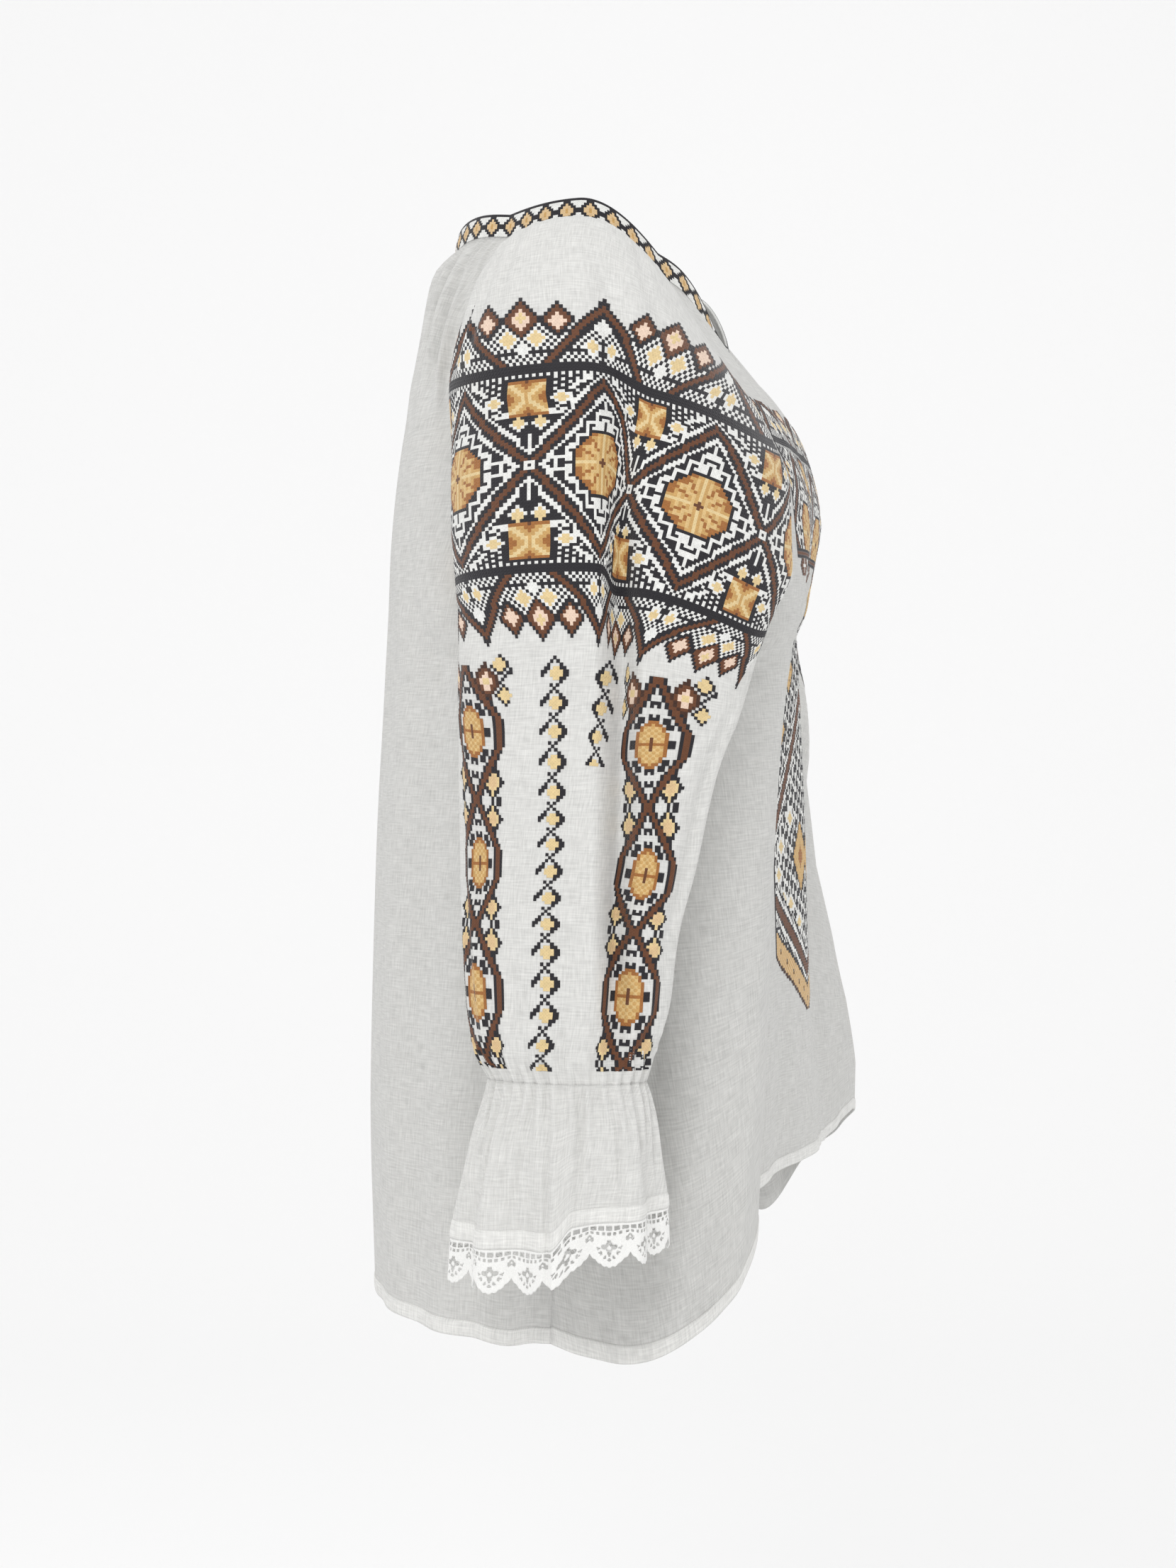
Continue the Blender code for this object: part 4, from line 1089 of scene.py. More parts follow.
def ornate_stripe(chart, across, down, middle):
    """A stripe of tall diamonds of brown chain, which crosses itself every 42 stitches. A gold
    oval with loops and leaves stands in each diamond and small long diamonds beside each
    crossing."""
    p = np.abs(across - middle)
    half = 0.5 * STRIPE_REPEAT
    q = np.abs((down - STRIPE_START + half) % STRIPE_REPEAT - half)
    b = half - q
    begun = (p < 14.0) & (down > 91.5)
    lower = begun & (down > STRIPE_START)
    # long diamonds beside the crossing
    small = diamond(p, b, 7.0, 6.0, 4.0, 6.4)
    nest(chart, lower, small, (1.0, BLACK), (0.70, YELLOW), (0.42, BEIGE))
    chart[lower & (np.abs(p - 9.4) < 0.7) & (b < 2.0)] = BLACK
    # the chain
    edge = np.minimum(9.8, 0.55 * b + 0.3)
    off = np.abs(p - edge) / 1.14
    nest(chart, begun, off, (1.6, BLACK), (0.8, BROWN))
    # loops, leaves and dots round the oval
    inside = begun & (p < edge - 2.2)
    loop = (p / 1.7) ** 2 + ((q - 11.4) / 2.9) ** 2
    chart[inside & (loop > 0.42) & (loop < 1.3)] = BLACK
    leaf = np.abs(p - 3.4 - 0.5 * (9.0 - q)) < 1.1
    chart[inside & leaf & (q > 5.6) & (q < 10.0)] = BLACK
    chart[inside & (np.abs(p - 5.6) < 0.8) & (q < 1.6)] = BLACK
    oval = (p / 4.6) ** 2 + (q / 8.2) ** 2
    chart[begun & (oval < 1.0)] = GOLD
    chart[begun & (oval < 0.6) & ((across + down) % 2 == 0)] = LIGHT_GOLD
    chart[begun & (oval < 1.0) & (oval > 0.76)] = DEEP_GOLD
    chart[begun & (oval < 0.76) & (q < 0.6)] = DEEP_GOLD
    chart[begun & (p < 0.6) & (q < 2.6)] = BROWN
    # the cluster at the top
    above = STRIPE_START - down
    reach = diamond(p, above, 7.6, 16.4, 4.6, 6.2)
    nest(chart, True, reach, (1.0, DARK_BROWN), (0.78, BROWN), (0.52, BLUSH), (0.26, YELLOW))
    for place, rise, size in ((12.6, 21.4, 3.2), (12.6, 12.0, 3.4)):
        reach = diamond(p, above, place, rise, size, size)
        chart[(reach <= 1.0) & (chart == NONE)] = BLACK
        chart[(reach <= 0.72) & (chart == BLACK)] = YELLOW
    stroke = np.abs((above - 16.4) - (p - 12.4) * 0.9)
    chart[(stroke < 0.7) & (p > 11.8) & (p < 16.2)] = BLACK
    return chart


def thin_stripe(chart, across, down, middle, inner):
    """A stripe of small yellow flowers between black crossings, with a chevron on the inner side
    and a short stroke that ends in a dot on the outer side."""
    x = (across - middle) * inner
    t = (down - 90.0) % 9.0
    here = (np.abs(x) < 5.0) & (down >= 90.0)
    rise = np.minimum(t, 9.0 - t)
    reach = np.abs(x - 0.5) + np.abs(t - 4.5)
    chart[here & (reach <= 2.6)] = YELLOW
    chart[here & (np.abs(x - 0.85 * rise) < 0.66) & (x > -0.6)] = BLACK
    chart[here & (np.abs(-x - 0.86 * t) < 0.66) & (t <= 4.8)] = BLACK
    chart[here & (t > 7.6) & (np.abs(x + (9.0 - t)) < 0.6)] = BLACK
    chart[here & (np.abs(x + 4.0) < 0.7) & (np.abs(t - 4.6) < 0.8)] = BLACK
    return chart


def stripes_chart(across, down):
    """Two ornate stripes and, between them, two thin ones that mirror each other."""
    chart = np.zeros(across.shape, int)
    for middle in (-44, 44):
        ornate_stripe(chart, across, down, middle)
    for middle, inner in ((-14, 1), (14, -1)):
        thin_stripe(chart, across, down, middle, inner)
    # the second thin stripe runs into the pressed fold of the sleeve
    chart[(down > 121) & (np.abs(across - 14) < 6)] = NONE
    chart[down > 221] = NONE
    return chart


def chest_chart(across, down):
    """The chest has the border of the shoulder band again: its points and its upper half, ended
    by a brown line with a row of small lozenges."""
    chart = shoulder_band_chart(across, down)
    p = np.abs(across)
    chart[down > 40] = NONE
    foot = (down > 37) & (down <= 40)
    chart[foot] = BLACK
    chart[foot & (down == 39)] = BROWN
    reach = diamond(p % 22.0, down, 11.0, 43.0, 6.2, 6.2)
    chart[(reach < 1.0) & (down > 40)] = DARK_BROWN
    chart[(reach < 0.84) & (down > 40)] = BROWN
    cross = ((np.abs(p % 22.0 - 11.0) < 0.6) & (np.abs(down - 43.0) < 2.1)) | (
        (np.abs(p % 22.0 - 11.0) < 2.1) & (np.abs(down - 43.0) < 0.6)
    )
    chart[cross & (down > 40)] = WHITE
    chart[p > 64] = NONE
    return chart


def front_chart(across, down):
    """The long motif of the front. A brown chain comes down from the middle to its sides and
    another runs back to the middle below, each between toothed white lines. Gold patches lie
    above them, flowers and a rosette between them, and a gold border ends in a point."""
    chart = np.zeros(across.shape, int)
    p = np.abs(across)
    even = (across + down) % 2 == 0
    roof = down - 1.4 * p - 21.0
    vee = down + 0.76 * p - 122.0
    foot = down + 0.62 * p
    inside = (down > 0) & (foot < 138.0) & (p < 37.0)
    chart[inside] = BLACK
    ground = inside & (np.abs(roof) > 8.6) & (np.abs(vee) > 8.6)
    chart[ground & ((down + p // 2) % 5 < 2) & (across % 3 != 0)] = WHITE
    chart[ground & (np.abs((down - 2.0 * p) % 9.0 - 4.5) < 1.0)] = WHITE
    for place, level in ((17.0, 12.0), (30.0, 34.0), (31.0, 8.0)):
        patch = diamond(p, down, place, level, 7.4, 9.0)
        chart[ground & (patch < 1.18)] = BLACK
        chart[ground & (patch < 1.0)] = GOLD
        chart[ground & (patch < 0.9) & even] = LIGHT_GOLD
        chart[ground & (patch < 0.9) & (across % 3 == 0) & (down % 4 == 0)] = DARK_BROWN
    flowers = ((28.0, 76.0), (31.0, 86.0), (18.0, 66.0), (19.0, 97.0), (10.0, 104.0), (26.0, 95.0))
    for place, level in flowers:
        flower(chart, ground, p, down, place, level, 4.0)
    rosette = diamond(p, down, 7.0, 80.0, 8.5, 12.5)
    chart[ground & (rosette < 1.15)] = BLACK
    chart[ground & (rosette < 1.0)] = GOLD
    chart[ground & (rosette < 0.9) & even] = LIGHT_GOLD
    chart[ground & (rosette < 0.35)] = DEEP_GOLD
    for line in (roof, vee):
        off = np.abs(line)
        near = inside & (off <= 8.6)
        chart[near] = BLACK
        chart[near & (off > 3.4) & (off <= 5.0)] = WHITE
        chart[near & (off > 5.0) & (off <= 6.4) & even] = WHITE
        chart[near & (off > 7.4) & (across % 3 != 0)] = WHITE
        chart[near & (off <= 2.2)] = BROWN
    border = inside & (foot >= 126.5)
    chart[border] = BLACK
    chart[border & (foot > 128.0)] = GOLD
    chart[border & (foot > 128.0) & even] = BEIGE
    chart[border & (across % 6 == 0) & (np.abs(foot - 132.5) < 1.0)] = DARK_BROWN
    chart[inside & (foot > 136.6)] = DARK_BROWN
    chart[inside & (p > 35.4)] = BLACK
    return chart


def neckband_chart(across, down):
    """Beige diamonds with gold hearts along the middle, black crossings between them, white
    triangles above and below, and a black line along the top."""
    p = np.abs(across % BAND_REPEAT - 0.5 * BAND_REPEAT)
    q = np.abs(down - 0.5 * BAND_STITCH_ROWS)
    chart = np.full(across.shape, WHITE)
    reach = p / 4.4 + q / 4.4
    chart[np.abs(reach - 1.0) < 0.22] = BLACK
    chart[reach < 0.78] = BEIGE
    chart[reach < 0.30] = GOLD
    chart[down <= 0] = BLACK
    chart[down >= BAND_STITCH_ROWS] = NONE
    return chart


class Nodes:
    """A short way to add nodes and links to a material."""

    def __init__(self, name, roughness, sheen):
        """A new material whose shader has this roughness and sheen."""
        self.material = bpy.data.materials.new(name)
        self.material.use_nodes = True
        self.tree = self.material.node_tree
        self.shader = self.tree.nodes["Principled BSDF"]
        self.shader.inputs["Roughness"].default_value = roughness
        self.shader.inputs["Sheen Weight"].default_value = sheen
        self.shader.inputs["Sheen Roughness"].default_value = 0.5
        self.shader.inputs["Specular IOR Level"].default_value = 0.25

    def add(self, kind, **values):
        """A new node of this kind, with these settings or values of its inputs."""
        node = self.tree.nodes.new("ShaderNode" + kind)
        for key, value in values.items():
            if hasattr(node, key):
                setattr(node, key, value)
            else:
                node.inputs[key.replace("_", " ")].default_value = value
        return node

    def link(self, source, target):
        """Joins an output to an input."""
        self.tree.links.new(source, target)

    def feed(self, node, values):
        """Gives a node's inputs these numbers, colours or outputs, in order, and gives back its
        own output."""
        for socket, value in zip(node.inputs, values):
            if isinstance(value, (int, float)):
                socket.default_value = value
            elif isinstance(value, tuple):
                socket.default_value = (*value[:3], 1.0)
            else:
                self.link(value, socket)
        return node.outputs[0]

    def part(self, vector, index):
        """One coordinate of a vector."""
        node = self.add("SeparateXYZ")
        self.link(vector, node.inputs[0])
        return node.outputs[index]

    def noise(self, vector, scale, detail, size=1.0):
        """Noise on a vector that is first stretched by scale, one number for each axis."""
        mapping = self.add("Mapping")
        mapping.inputs["Scale"].default_value = scale
        self.link(vector, mapping.inputs["Vector"])
        node = self.add("TexNoise", Scale=size, Detail=detail)
        self.link(mapping.outputs["Vector"], node.inputs["Vector"])
        return node.outputs["Fac"]

    def math(self, operation, *values):
        """A sum of this kind on numbers or outputs."""
        return self.feed(self.add("Math", operation=operation), values)

    def paint(self, colour, shade):
        """Makes the base colour a colour or an output, times a shade of grey."""
        grey = self.feed(self.add("CombineColor"), (shade, shade, shade))
        tinted = self.feed(self.add("MixRGB", blend_type="MULTIPLY"), (1.0, colour, grey))
        self.link(tinted, self.shader.inputs["Base Color"])

    def bump(self, height, strength, distance):
        """Lets the light see the height as relief of this strength and depth."""
        node = self.add("Bump", Strength=strength, Distance=distance)
        self.link(height, node.inputs["Height"])
        self.link(node.outputs["Normal"], self.shader.inputs["Normal"])


def muslin(name, colour, pitch):
    """Plain weave: two sets of threads as crossing waves at the thread pitch, uneven threads as
    noise drawn out along each set, and faint broad unevenness."""
    n = Nodes(name, 0.88, 0.12)
    vector = n.add("UVMap", uv_map="cloth").outputs["UV"]
    turns = [n.math("MULTIPLY", n.part(vector, k), 2.0 * math.pi / pitch) for k in (0, 1)]
    weave = n.math("MULTIPLY", *(n.math("SINE", turn) for turn in turns))
    down = n.noise(vector, (1100.0, 95.0, 1.0), 2.0)
    along = n.noise(vector, (80.0, 1000.0, 1.0), 2.0)
    threads = n.math("ADD", down, along)
    broad = n.noise(vector, (55.0, 40.0, 1.0), 3.0)
    shade = n.math("MULTIPLY_ADD", threads, 0.44, 0.56)
    shade = n.math("MULTIPLY_ADD", broad, 0.10, n.math("SUBTRACT", shade, 0.05))
    n.paint(tuple(colour), shade)
    n.bump(n.math("MULTIPLY_ADD", weave, 0.25, threads), 0.35, 0.0004)
    return n.material


def stitched_thread(name):
    """Cotton thread in the colour of its stitch. The two diagonals of a stitch stay bright and
    the four corners between them are darkened, which is painted shade between its raised arms,
    and each stitch is lit a little differently."""
    n = Nodes(name, 0.62, 0.18)
    colour = n.add("Attribute", attribute_name="thread")
    uv = n.add("UVMap", uv_map="stitch").outputs["UV"]
    x, y = (n.math("ABSOLUTE", n.math("SUBTRACT", n.part(uv, k), 0.5)) for k in (0, 1))
    off = n.math("ABSOLUTE", n.math("SUBTRACT", x, y))
    arms = n.math("SUBTRACT", 1.0, n.math("MULTIPLY", off, 1.5))
    place = n.add("TexCoord").outputs["Object"]
    uneven = n.noise(place, (420.0, 420.0, 420.0), 1.0)
    shade = n.math("MULTIPLY_ADD", uneven, 0.34, 0.72)
    # Painted shade: the thread colour darkens in the four corners between the stitch's arms
    shade = n.math("MULTIPLY_ADD", arms, 0.22, n.math("SUBTRACT", shade, 0.12))
    n.paint(colour.outputs["Color"], shade)
    n.bump(n.math("MULTIPLY_ADD", arms, 1.0, uneven), 0.4, 0.0003)
    return n.material


def lace_thread(name, colour):
    """Looped cotton: fine twisted threads as noise, a little brighter than the muslin."""
    n = Nodes(name, 0.75, 0.2)
    place = n.add("TexCoord").outputs["Object"]
    fine = n.noise(place, (1500.0, 1500.0, 1500.0), 2.0)
    n.paint(tuple(colour), n.math("MULTIPLY_ADD", fine, 0.30, 0.84))
    n.bump(fine, 0.5, 0.0004)
    return n.material


def studio_paint(name, colour):
    """Matt paint with a faint broad unevenness."""
    n = Nodes(name, 0.9, 0.0)
    place = n.add("TexCoord").outputs["Object"]
    broad = n.noise(place, (1.0, 1.0, 1.0), 2.0, 0.6)
    n.paint(tuple(colour), n.math("MULTIPLY_ADD", broad, 0.02, 0.99))
    return n.material


def material_once(name, maker, *values):
    """The material of this name, made on first use."""
    found = bpy.data.materials.get(name)
    return found or maker(name, *values)


def muslin_of(settings, name="muslin", tint=1.0):
    """The muslin of this name: the user's cloth colour times a tint."""
    colour = tuple(c * tint for c in settings.cloth_colour)
    return material_once(name, muslin, colour, settings.thread_pitch)


@lru_cache
def sleeve_grid(columns):
    """All rings of a sleeve with x out from the body, their turns and their row numbers."""
    rows = np.concatenate([YOKE, TUBE])
    rings, turns = zip(*(sleeve_ring(row, columns) for row in rows))
    return np.array(rings), np.array(turns), rows


def ruffle_grid(columns):
    """The ruffle's rings from the wrist to its hem, with smooth rings between its given ones."""
    levels = np.arange(len(RUFFLE))
    fine = np.linspace(0.0, len(RUFFLE) - 1.0, 31)
    rings = steady_curve(levels, RUFFLE, fine)
    height = RUFFLE[0].z - RUFFLE[-1].z
    grid = [ruffle_ring(RuffleRing(*r), columns, (RUFFLE[0].z - r[0]) / height) for r in rings]
    grid[0] = sleeve_grid(columns)[0][-1]
    return np.array(grid)


def strip_on(grid, first, last, lift):
    """A strip between two fractional rows of a grid, lifted off it."""
    at = np.linspace(first, last, 7)
    flat = grid.reshape(len(grid), -1)
    low = np.clip(at.astype(int), 0, len(grid) - 2)
    t = (at - low)[:, None]
    strip = (flat[low] * (1 - t) + flat[low + 1] * t).reshape(len(at), -1, 3)
    ways = outward_from_middle(grid)[np.clip(np.round(at).astype(int), 0, len(grid) - 1)]
    profile = np.array([0.25, 0.95, 1.0, 1.0, 1.0, 0.9, 0.35])
    return strip + ways * (lift * profile)[:, None, None]


def rows_above_foot(grid, depth):
    """The fractional row that lies this far above the foot of a grid."""
    steps = np.linalg.norm(np.diff(grid, axis=0), axis=2).mean(axis=1)
    below = np.concatenate([np.cumsum(steps[::-1])[::-1], [0.0]])
    return float(np.interp(-depth, -below, np.arange(len(grid))))


def neckband_grid(columns):
    """The neckband's points, from its top line down to its seam with the front, the sleeves and
    the back, and the length along that seam. The band leans in towards the neck, less half a
    wave of its height by which it swells."""
    head = sleeve_grid(columns)[0][0]
    front, back = (panel_grid(name)[0][0] for name in ("front", "back"))
    right, left = on_side(head, "right"), on_side(head[::-1], "left")
    foot = np.concatenate([front, right[1:], back[1:], left[1:]])
    foot[-1] = foot[0]
    along = lengths_along(foot)
    even = np.linspace(0.0, along[-1], 481)
    foot = read_at(even, along, foot)
    middle = np.array([0.0, 0.5 * (foot[:, 1].max() + foot[:, 1].min()), 0.0])
    inwards = unit_vectors((middle - foot) * (1, 1, 0))
    height = np.linspace(1.0, 0.0, 11)
    lean = BAND_LEAN * height - BAND_SWELL * np.sin(math.pi * height)
    rise = UP * (BAND_HEIGHT * height)[:, None, None]
    return foot[None] + inwards[None] * lean[:, None, None] + rise, even


def declare(piece, nodes=()):
    """Gives a piece its body and the nodes that it stands for."""
    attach(piece, BODY)
    if nodes:
        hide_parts(*nodes)
    return piece


def hem_piece(name, grid, depth, material):
    """The turned hem of a grid: a strip of this depth at its foot."""
    strip = strip_on(grid, rows_above_foot(grid, depth), len(grid) - 1.0, HEM_LIFT)
    return declare(cloth_piece(name, strip, material, HEM_THICKNESS))


def chart_cells(first_column, end_column, first_row, end_row):
    """The columns and rows of a chart's corners, half a stitch from those of its cells, and the
    columns and rows of the cells."""
    i, j = np.meshgrid(np.arange(first_column, end_column) - 0.5, np.arange(first_row, end_row) - 0.5)
    return i, j, i[:-1, :-1] + 0.5, j[:-1, :-1] + 0.5


def lay_stitches(name, surface, chart, row_at, key_at, material):
    """Stitches from a chart on a surface. row_at and key_at give the ring row and the key at
    the corners of the chart's cells."""
    points, normals, on_it = surface.find(row_at, key_at)
    usable = on_it[:-1, :-1] & on_it[1:, 1:] & on_it[:-1, 1:] & on_it[1:, :-1]
    piece = stitched_piece(name, chart, points, normals, usable, material)
    return declare(piece)


def warp(table, columns, stitches, across):
    """A table of values at some stitch rows and columns, read at any rows and columns with
    curves that don't overshoot."""
    values = np.array([line[1:] for line in table], float)
    at_rows = steady_curve([line[0] for line in table], values, stitches)
    return steady_curve(columns, at_rows.T, across).T


class BLOUSE_OT_body(bpy.types.Operator):
    """Make the front and back panels with their neck pleats, folds and turned hem"""

    bl_idname = "blouse.body"
    bl_label = "Body Panels"

    def execute(self, context):
        cloth = context.scene.blouse_cloth
        # The body panels' muslin is darkened here: painted shade, as the body takes less light than the
        # sleeves
        material = muslin_of(cloth, "body_muslin", BODY_PAINTED_SHADE)
        hem_material = muslin_of(cloth, "body_hem_muslin", BODY_HEM_TINT)
        for name, flat, cut in (("front", (0.50, 0.64), 0.268), ("back", (0.52, 0.72), 0.340)):
            grid, _ = panel_grid(name)
            panel = cloth_piece(f"{name}_cloth", grid, material, cloth.thickness)
            declare(panel, [f"{name}_panel"])
            hem = hem_piece(f"{name}_hem", grid, cloth.hem, hem_material)
        return {"FINISHED"}


class BLOUSE_OT_sleeves(bpy.types.Operator):
    """Make both raglan sleeves with their pressed fold, creases and gathered wrists"""

    bl_idname = "blouse.sleeves"
    bl_label = "Sleeves"

    def execute(self, context):
        cloth = context.scene.blouse_cloth
        material = muslin_of(cloth)
        grid, _, _ = sleeve_grid(cloth.sleeve_columns)
        for side in ("right", "left"):
            points = on_side(grid, side)
            sleeve = cloth_piece(f"{side}_sleeve_cloth", points, material, cloth.thickness)
            declare(sleeve, [f"{side}_sleeve"])
        return {"FINISHED"}


class BLOUSE_OT_neckband(bpy.types.Operator):
    """Make the cross-stitched neckband"""

    bl_idname = "blouse.neckband"
    bl_label = "Neckband"

    def execute(self, context):
        cloth = context.scene.blouse_cloth
        grid, along = neckband_grid(cloth.sleeve_columns)
        band = cloth_piece("neckband_cloth", grid, muslin_of(cloth), BAND_THICKNESS)
        declare(band, ["neckband"])
        total = along[-1]
        columns = int(round(total / (BAND_REPEAT * cloth.stitch))) * BAND_REPEAT
        surface = Surface(grid, np.broadcast_to(along, grid.shape[:2]), np.arange(len(grid)))
        i, j = np.meshgrid(np.arange(columns + 1), np.arange(BAND_STITCH_ROWS + 1))
        chart = neckband_chart(i[:-1, :-1] + 0.5, j[:-1, :-1])
        thread = material_once("embroidery_thread", stitched_thread)
        stitches = lay_stitches(
            "neckband_embroidery", surface, chart, 0.02 + j * (9.9 / BAND_STITCH_ROWS),
            1e-6 + i * (total - 2e-6) / columns, thread,
        )
        return {"FINISHED"}


class BLOUSE_OT_cuffs(bpy.types.Operator):
    """Make the ruffles with their turned hems and the lace edging"""

    bl_idname = "blouse.cuffs"
    bl_label = "Ruffles and Lace"

    def execute(self, context):
        cloth = context.scene.blouse_cloth
        material = muslin_of(cloth)
        hem_material = muslin_of(cloth, "ruffle_hem_muslin", RUFFLE_HEM_TINT)
        lace_material = material_once("lace_thread", lace_thread, tuple(cloth.lace_colour))
        base = ruffle_grid(cloth.sleeve_columns)
        for side in ("right", "left"):
            grid = on_side(base, side)
            ruffle = cloth_piece(f"{side}_ruffle_cloth", grid, material, cloth.thickness)
            declare(ruffle, [f"{side}_ruffle"])
            hem = hem_piece(f"{side}_ruffle_hem", grid, cloth.hem, hem_material)
            lace = lace_piece(f"{side}_lace", base, side, lace_material)
            declare(lace, [f"{side}_lace_front", f"{side}_lace_back"])
        return {"FINISHED"}


def lace_holes(place, part):
    """Which cells of the lace are open. place counts repeats of the edging and part runs from
    its head to its scalloped foot: a row of small oblong holes, a row of smaller ones, star
    shaped gaps, and the gaps of a fan."""
    x = place % 1.0
    mesh = (np.abs((place * 5.0) % 1.0 - 0.5) < 0.34) & (part > 0.07) & (part < 0.17)
    second = (np.abs((place * 7.0) % 1.0 - 0.5) < 0.28) & (part > 0.23) & (part < 0.30)
    from_middle = np.hypot(x - 0.5, (part - 0.56) * 1.15)
    angle = np.arctan2(part - 0.56, x - 0.5)
    star = (from_middle > 0.055) & (from_middle < 0.155 + 0.05 * np.cos(4.0 * angle))
    ribs = np.abs((angle * 7.0 / math.pi) % 1.0 - 0.5)
    fan = (from_middle > 0.24) & (from_middle < 0.33) & (ribs < 0.30)
    side_star = np.hypot(np.minimum(x, 1.0 - x), (part - 0.46) * 1.15)
    gap = (side_star > 0.03) & (side_star < 0.105)
    return (mesh | second | star | (fan & (part > 0.62)) | gap) & (part < 0.93)


def lace_piece(name, ruffle, side, material):
    """The scalloped edging below a ruffle: each column runs down from the hem in the ruffle's
    own direction, deepest in the middle of each repeat, with looped points along its foot."""
    columns = ruffle.shape[1]
    finer = np.linspace(0.0, columns - 1.0, 2 * (columns - 1) + 1)
    hem, above = (read_at(finer, np.arange(columns), ruffle[row]) for row in (-1, -8))
    place = np.linspace(0.0, LACE_REPEATS, len(finer))
    depth = LACE_AT_VALLEY + (LACE_AT_POINT - LACE_AT_VALLEY) * np.sin(math.pi * (place % 1.0))
    depth = depth + 0.0009 * np.abs(np.sin(math.pi * place * 7.0)) - 0.0006
    slope = unit_vectors(hem - above) * (0.4, 0.4, 1.0)
    parts = np.linspace(0.0, 1.0, LACE_ROWS)
    grid = hem[None] + slope[None] * (depth[None] * parts[:, None])[:, :, None]
    grid = on_side(grid, side)
    points = grid.reshape(-1, 3)
    faces = grid_faces(*grid.shape[:2])
    middle = np.repeat(grid.mean(axis=1), grid.shape[1], axis=0)
    faces = faces_out(points, faces, middle[faces[:, 0]])
    cell_place = (place[:-1] + place[1:])[None] * 0.5
    cell_part = ((parts[:-1] + parts[1:]) * 0.5)[:, None]
    cell_place, cell_part = np.broadcast_arrays(cell_place, cell_part)
    closed = ~lace_holes(cell_place, cell_part).ravel()
    faces = faces[closed]
    used = np.unique(faces)
    renumber = np.zeros(len(points), int)
    renumber[used] = np.arange(len(used))
    maps = {label: uv[used] for label, uv in cloth_maps(grid).items()}
    piece = make_piece(name, points[used], renumber[faces], material, maps)
    return thicken(piece, LACE_THICKNESS)


class BLOUSE_OT_sleeve_embroidery(bpy.types.Operator):
    """Work the shoulder bands and the long stripes of both sleeves"""

    bl_idname = "blouse.sleeve_embroidery"
    bl_label = "Sleeve Embroidery"

    def execute(self, context):
        cloth = context.scene.blouse_cloth
        grid, turns, rows = sleeve_grid(cloth.sleeve_columns)
        thread = material_once("embroidery_thread", stitched_thread)
        i, j, across, down = chart_cells(-92, 94, -22, 88)
        band = shoulder_band_chart(across, down)
        band_turn = warp(BAND_TURNS, BAND_COLUMNS, j[:, 0], i[0])
        band_row = warp(BAND_ROWS, BAND_ROW_COLUMNS, j[:, 0], np.clip(i[0], -44, 88))
        i, j, across, down = chart_cells(-60, 62, 84, 223)
        lines = stripes_chart(across, down)
        line_turn = warp(STRIPE_TURNS, STRIPE_COLUMNS, j[:, 0], i[0])
        line_row = warp(STRIPE_ROWS, (0, 34), j[:, 0], np.clip(i[0], 0, 34))
        for side in ("right", "left"):
            surface = Surface(on_side(grid, side), -turns, rows)
            lay_stitches(f"{side}_shoulder_band", surface, band, band_row, -band_turn, thread)
            lay_stitches(f"{side}_sleeve_stripes", surface, lines, line_row, -line_turn, thread)
        return {"FINISHED"}


class BLOUSE_OT_front_embroidery(bpy.types.Operator):
    """Work the two motifs of the front"""

    bl_idname = "blouse.front_embroidery"
    bl_label = "Front Embroidery"

    def execute(self, context):
        cloth = context.scene.blouse_cloth
        grid, rows = panel_grid("front")
        surface = Surface(grid, lengths_across(grid), rows)
        centre = grid[:, grid.shape[1] // 2]
        down = lengths_along(centre)
        thread = material_once("embroidery_thread", stitched_thread)
        for name, chart_of, top, count, half_width in (
            ("chest_motif", chest_chart, -0.144, (-17, 48), 65),
            ("front_motif", front_chart, -0.263, (0, 138), 38),
        ):
            start = float(np.interp(-top, -centre[:, 2], down))
            i, j, columns, lines = chart_cells(-half_width, half_width + 2, *count)
            chart = chart_of(columns, lines)
            row_at = np.interp(start + j * cloth.stitch, down, rows)
            lay_stitches(name, surface, chart, row_at, i * cloth.stitch, thread)
        return {"FINISHED"}


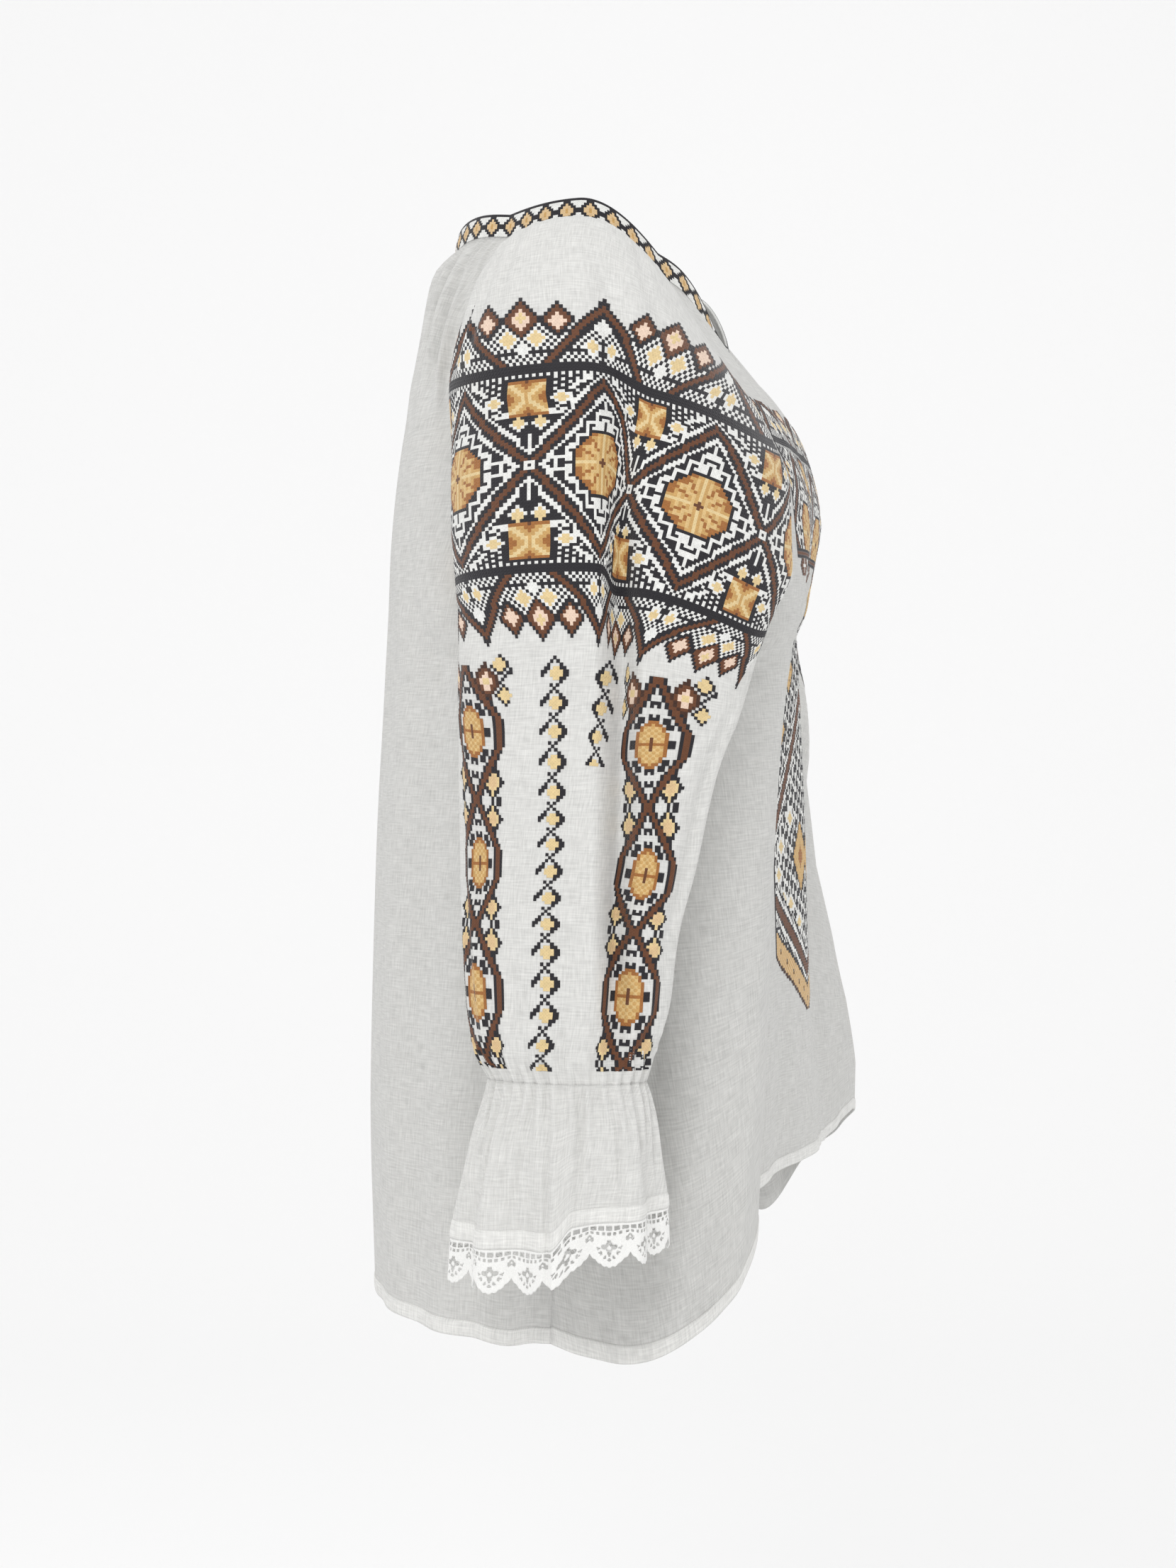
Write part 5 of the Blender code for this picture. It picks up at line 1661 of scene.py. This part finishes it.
class BLOUSE_OT_studio(bpy.types.Operator):
    """Make the floor, the backdrop, the lights and the camera"""

    bl_idname = "blouse.studio"
    bl_label = "Studio"

    def execute(self, context):
        studio = context.scene.blouse_studio
        low = CAD_BOX[0]
        turn = math.radians(CAMERA_TURN)
        facing = np.array([math.cos(turn), math.sin(turn), 0.0])
        right = np.array([facing[1], -facing[0], 0.0])
        floor = low[2] - studio.floor_drop
        t = np.linspace(0.0, 1.0, 61)
        bend = np.clip((t - 0.6) / 0.25, 0.0, 1.0)
        depth = -4.0 + 6.0 * np.clip(t / 0.6, 0.0, 1.0) + 1.2 * np.sin(bend * math.pi / 2.0)
        rise = 1.2 * (1.0 - np.cos(bend * math.pi / 2.0))
        rise += 5.0 * np.clip((t - 0.85) / 0.15, 0.0, 1.0)
        across = np.linspace(-6.0, 6.0, 13)
        grid = (
            facing * depth[:, None, None]
            + right * across[None, :, None]
            + UP * (floor + rise)[:, None, None]
        )
        faces = grid_faces(*grid.shape[:2])
        backdrop = make_piece(
            "studio_backdrop", grid.reshape(-1, 3), faces[:, ::-1],
            studio_paint("studio_paint", tuple(studio.floor_colour)),
        )
        middle = UP * AIM_HEIGHT
        for name, ahead, side, up, size, power in (
            ("key", -2.2, -0.9, 1.5, 1.6, studio.key_power),
            ("fill", -1.6, 2.2, 0.2, 2.0, studio.fill_power),
            ("top", -0.2, -0.2, 2.6, 2.4, studio.fill_power),
        ):
            lamp = bpy.data.lights.new(f"studio_{name}", "AREA")
            lamp.energy = power
            lamp.size = size
            holder = bpy.data.objects.new(f"studio_{name}", lamp)
            place = middle + facing * ahead + right * side + UP * up
            back = unit_vectors(place - middle)
            helper = np.array([0.0, 1.0, 0.0]) if abs(back[2]) > 0.98 else UP
            beside = unit_vectors(np.cross(helper, back))
            holder.matrix_world = pose_matrix(beside, np.cross(back, beside), back, place)
            context.scene.collection.objects.link(holder)
        world = bpy.data.worlds.new("studio_air")
        world.use_nodes = True
        air = world.node_tree.nodes["Background"]
        air.inputs["Color"].default_value = (1.0, 1.0, 1.0, 1.0)
        air.inputs["Strength"].default_value = studio.world_strength
        context.scene.world = world
        lens = bpy.data.cameras.new("studio_camera")
        lens.sensor_width = 36.0
        lens.lens = studio.lens
        lens.dof.use_dof = False
        camera = bpy.data.objects.new("studio_camera", lens)
        place = middle - facing * CAMERA_DISTANCE
        camera.matrix_world = pose_matrix(right, UP, -facing, place)
        context.scene.collection.objects.link(camera)
        context.scene.camera = camera
        context.scene.view_settings.view_transform = "Standard"
        return {"FINISHED"}


def pose_matrix(right, up, back, place):
    """The world matrix of a camera or light from its three directions and its place."""
    rows = np.eye(4)
    rows[:3, 0], rows[:3, 1], rows[:3, 2], rows[:3, 3] = right, up, back, place
    return Matrix(rows.tolist())


class BLOUSE_PT_panel(bpy.types.Panel):
    """Buttons and sizes of the blouse"""

    bl_label = "Peasant Blouse"
    bl_idname = "BLOUSE_PT_panel"
    bl_space_type = "VIEW_3D"
    bl_region_type = "UI"
    bl_category = "Blouse"

    def draw(self, context):
        """Lists a button for each operator, then the settings."""
        for operator in OPERATORS:
            self.layout.operator(operator.bl_idname)
        for settings in (context.scene.blouse_cloth, context.scene.blouse_studio):
            for name in settings.__annotations__:
                self.layout.prop(settings, name)


OPERATORS = (
    BLOUSE_OT_body,
    BLOUSE_OT_sleeves,
    BLOUSE_OT_neckband,
    BLOUSE_OT_cuffs,
    BLOUSE_OT_sleeve_embroidery,
    BLOUSE_OT_front_embroidery,
    BLOUSE_OT_studio,
)
CLASSES = (ClothSettings, StudioSettings, *OPERATORS, BLOUSE_PT_panel)


def register():
    """Adds the classes and, to each scene, the two groups of settings."""
    for item in CLASSES:
        bpy.utils.register_class(item)
    bpy.types.Scene.blouse_cloth = PointerProperty(type=ClothSettings)
    bpy.types.Scene.blouse_studio = PointerProperty(type=StudioSettings)


def unregister():
    """Takes away what register adds, in the opposite order."""
    del bpy.types.Scene.blouse_studio
    del bpy.types.Scene.blouse_cloth
    for item in reversed(CLASSES):
        bpy.utils.unregister_class(item)


def main():
    """Makes every piece and the studio."""
    register()
    bpy.ops.blouse.body()
    bpy.ops.blouse.sleeves()
    bpy.ops.blouse.neckband()
    bpy.ops.blouse.cuffs()
    bpy.ops.blouse.sleeve_embroidery()
    bpy.ops.blouse.front_embroidery()
    bpy.ops.blouse.studio()


if __name__ == "__main__":
    main()
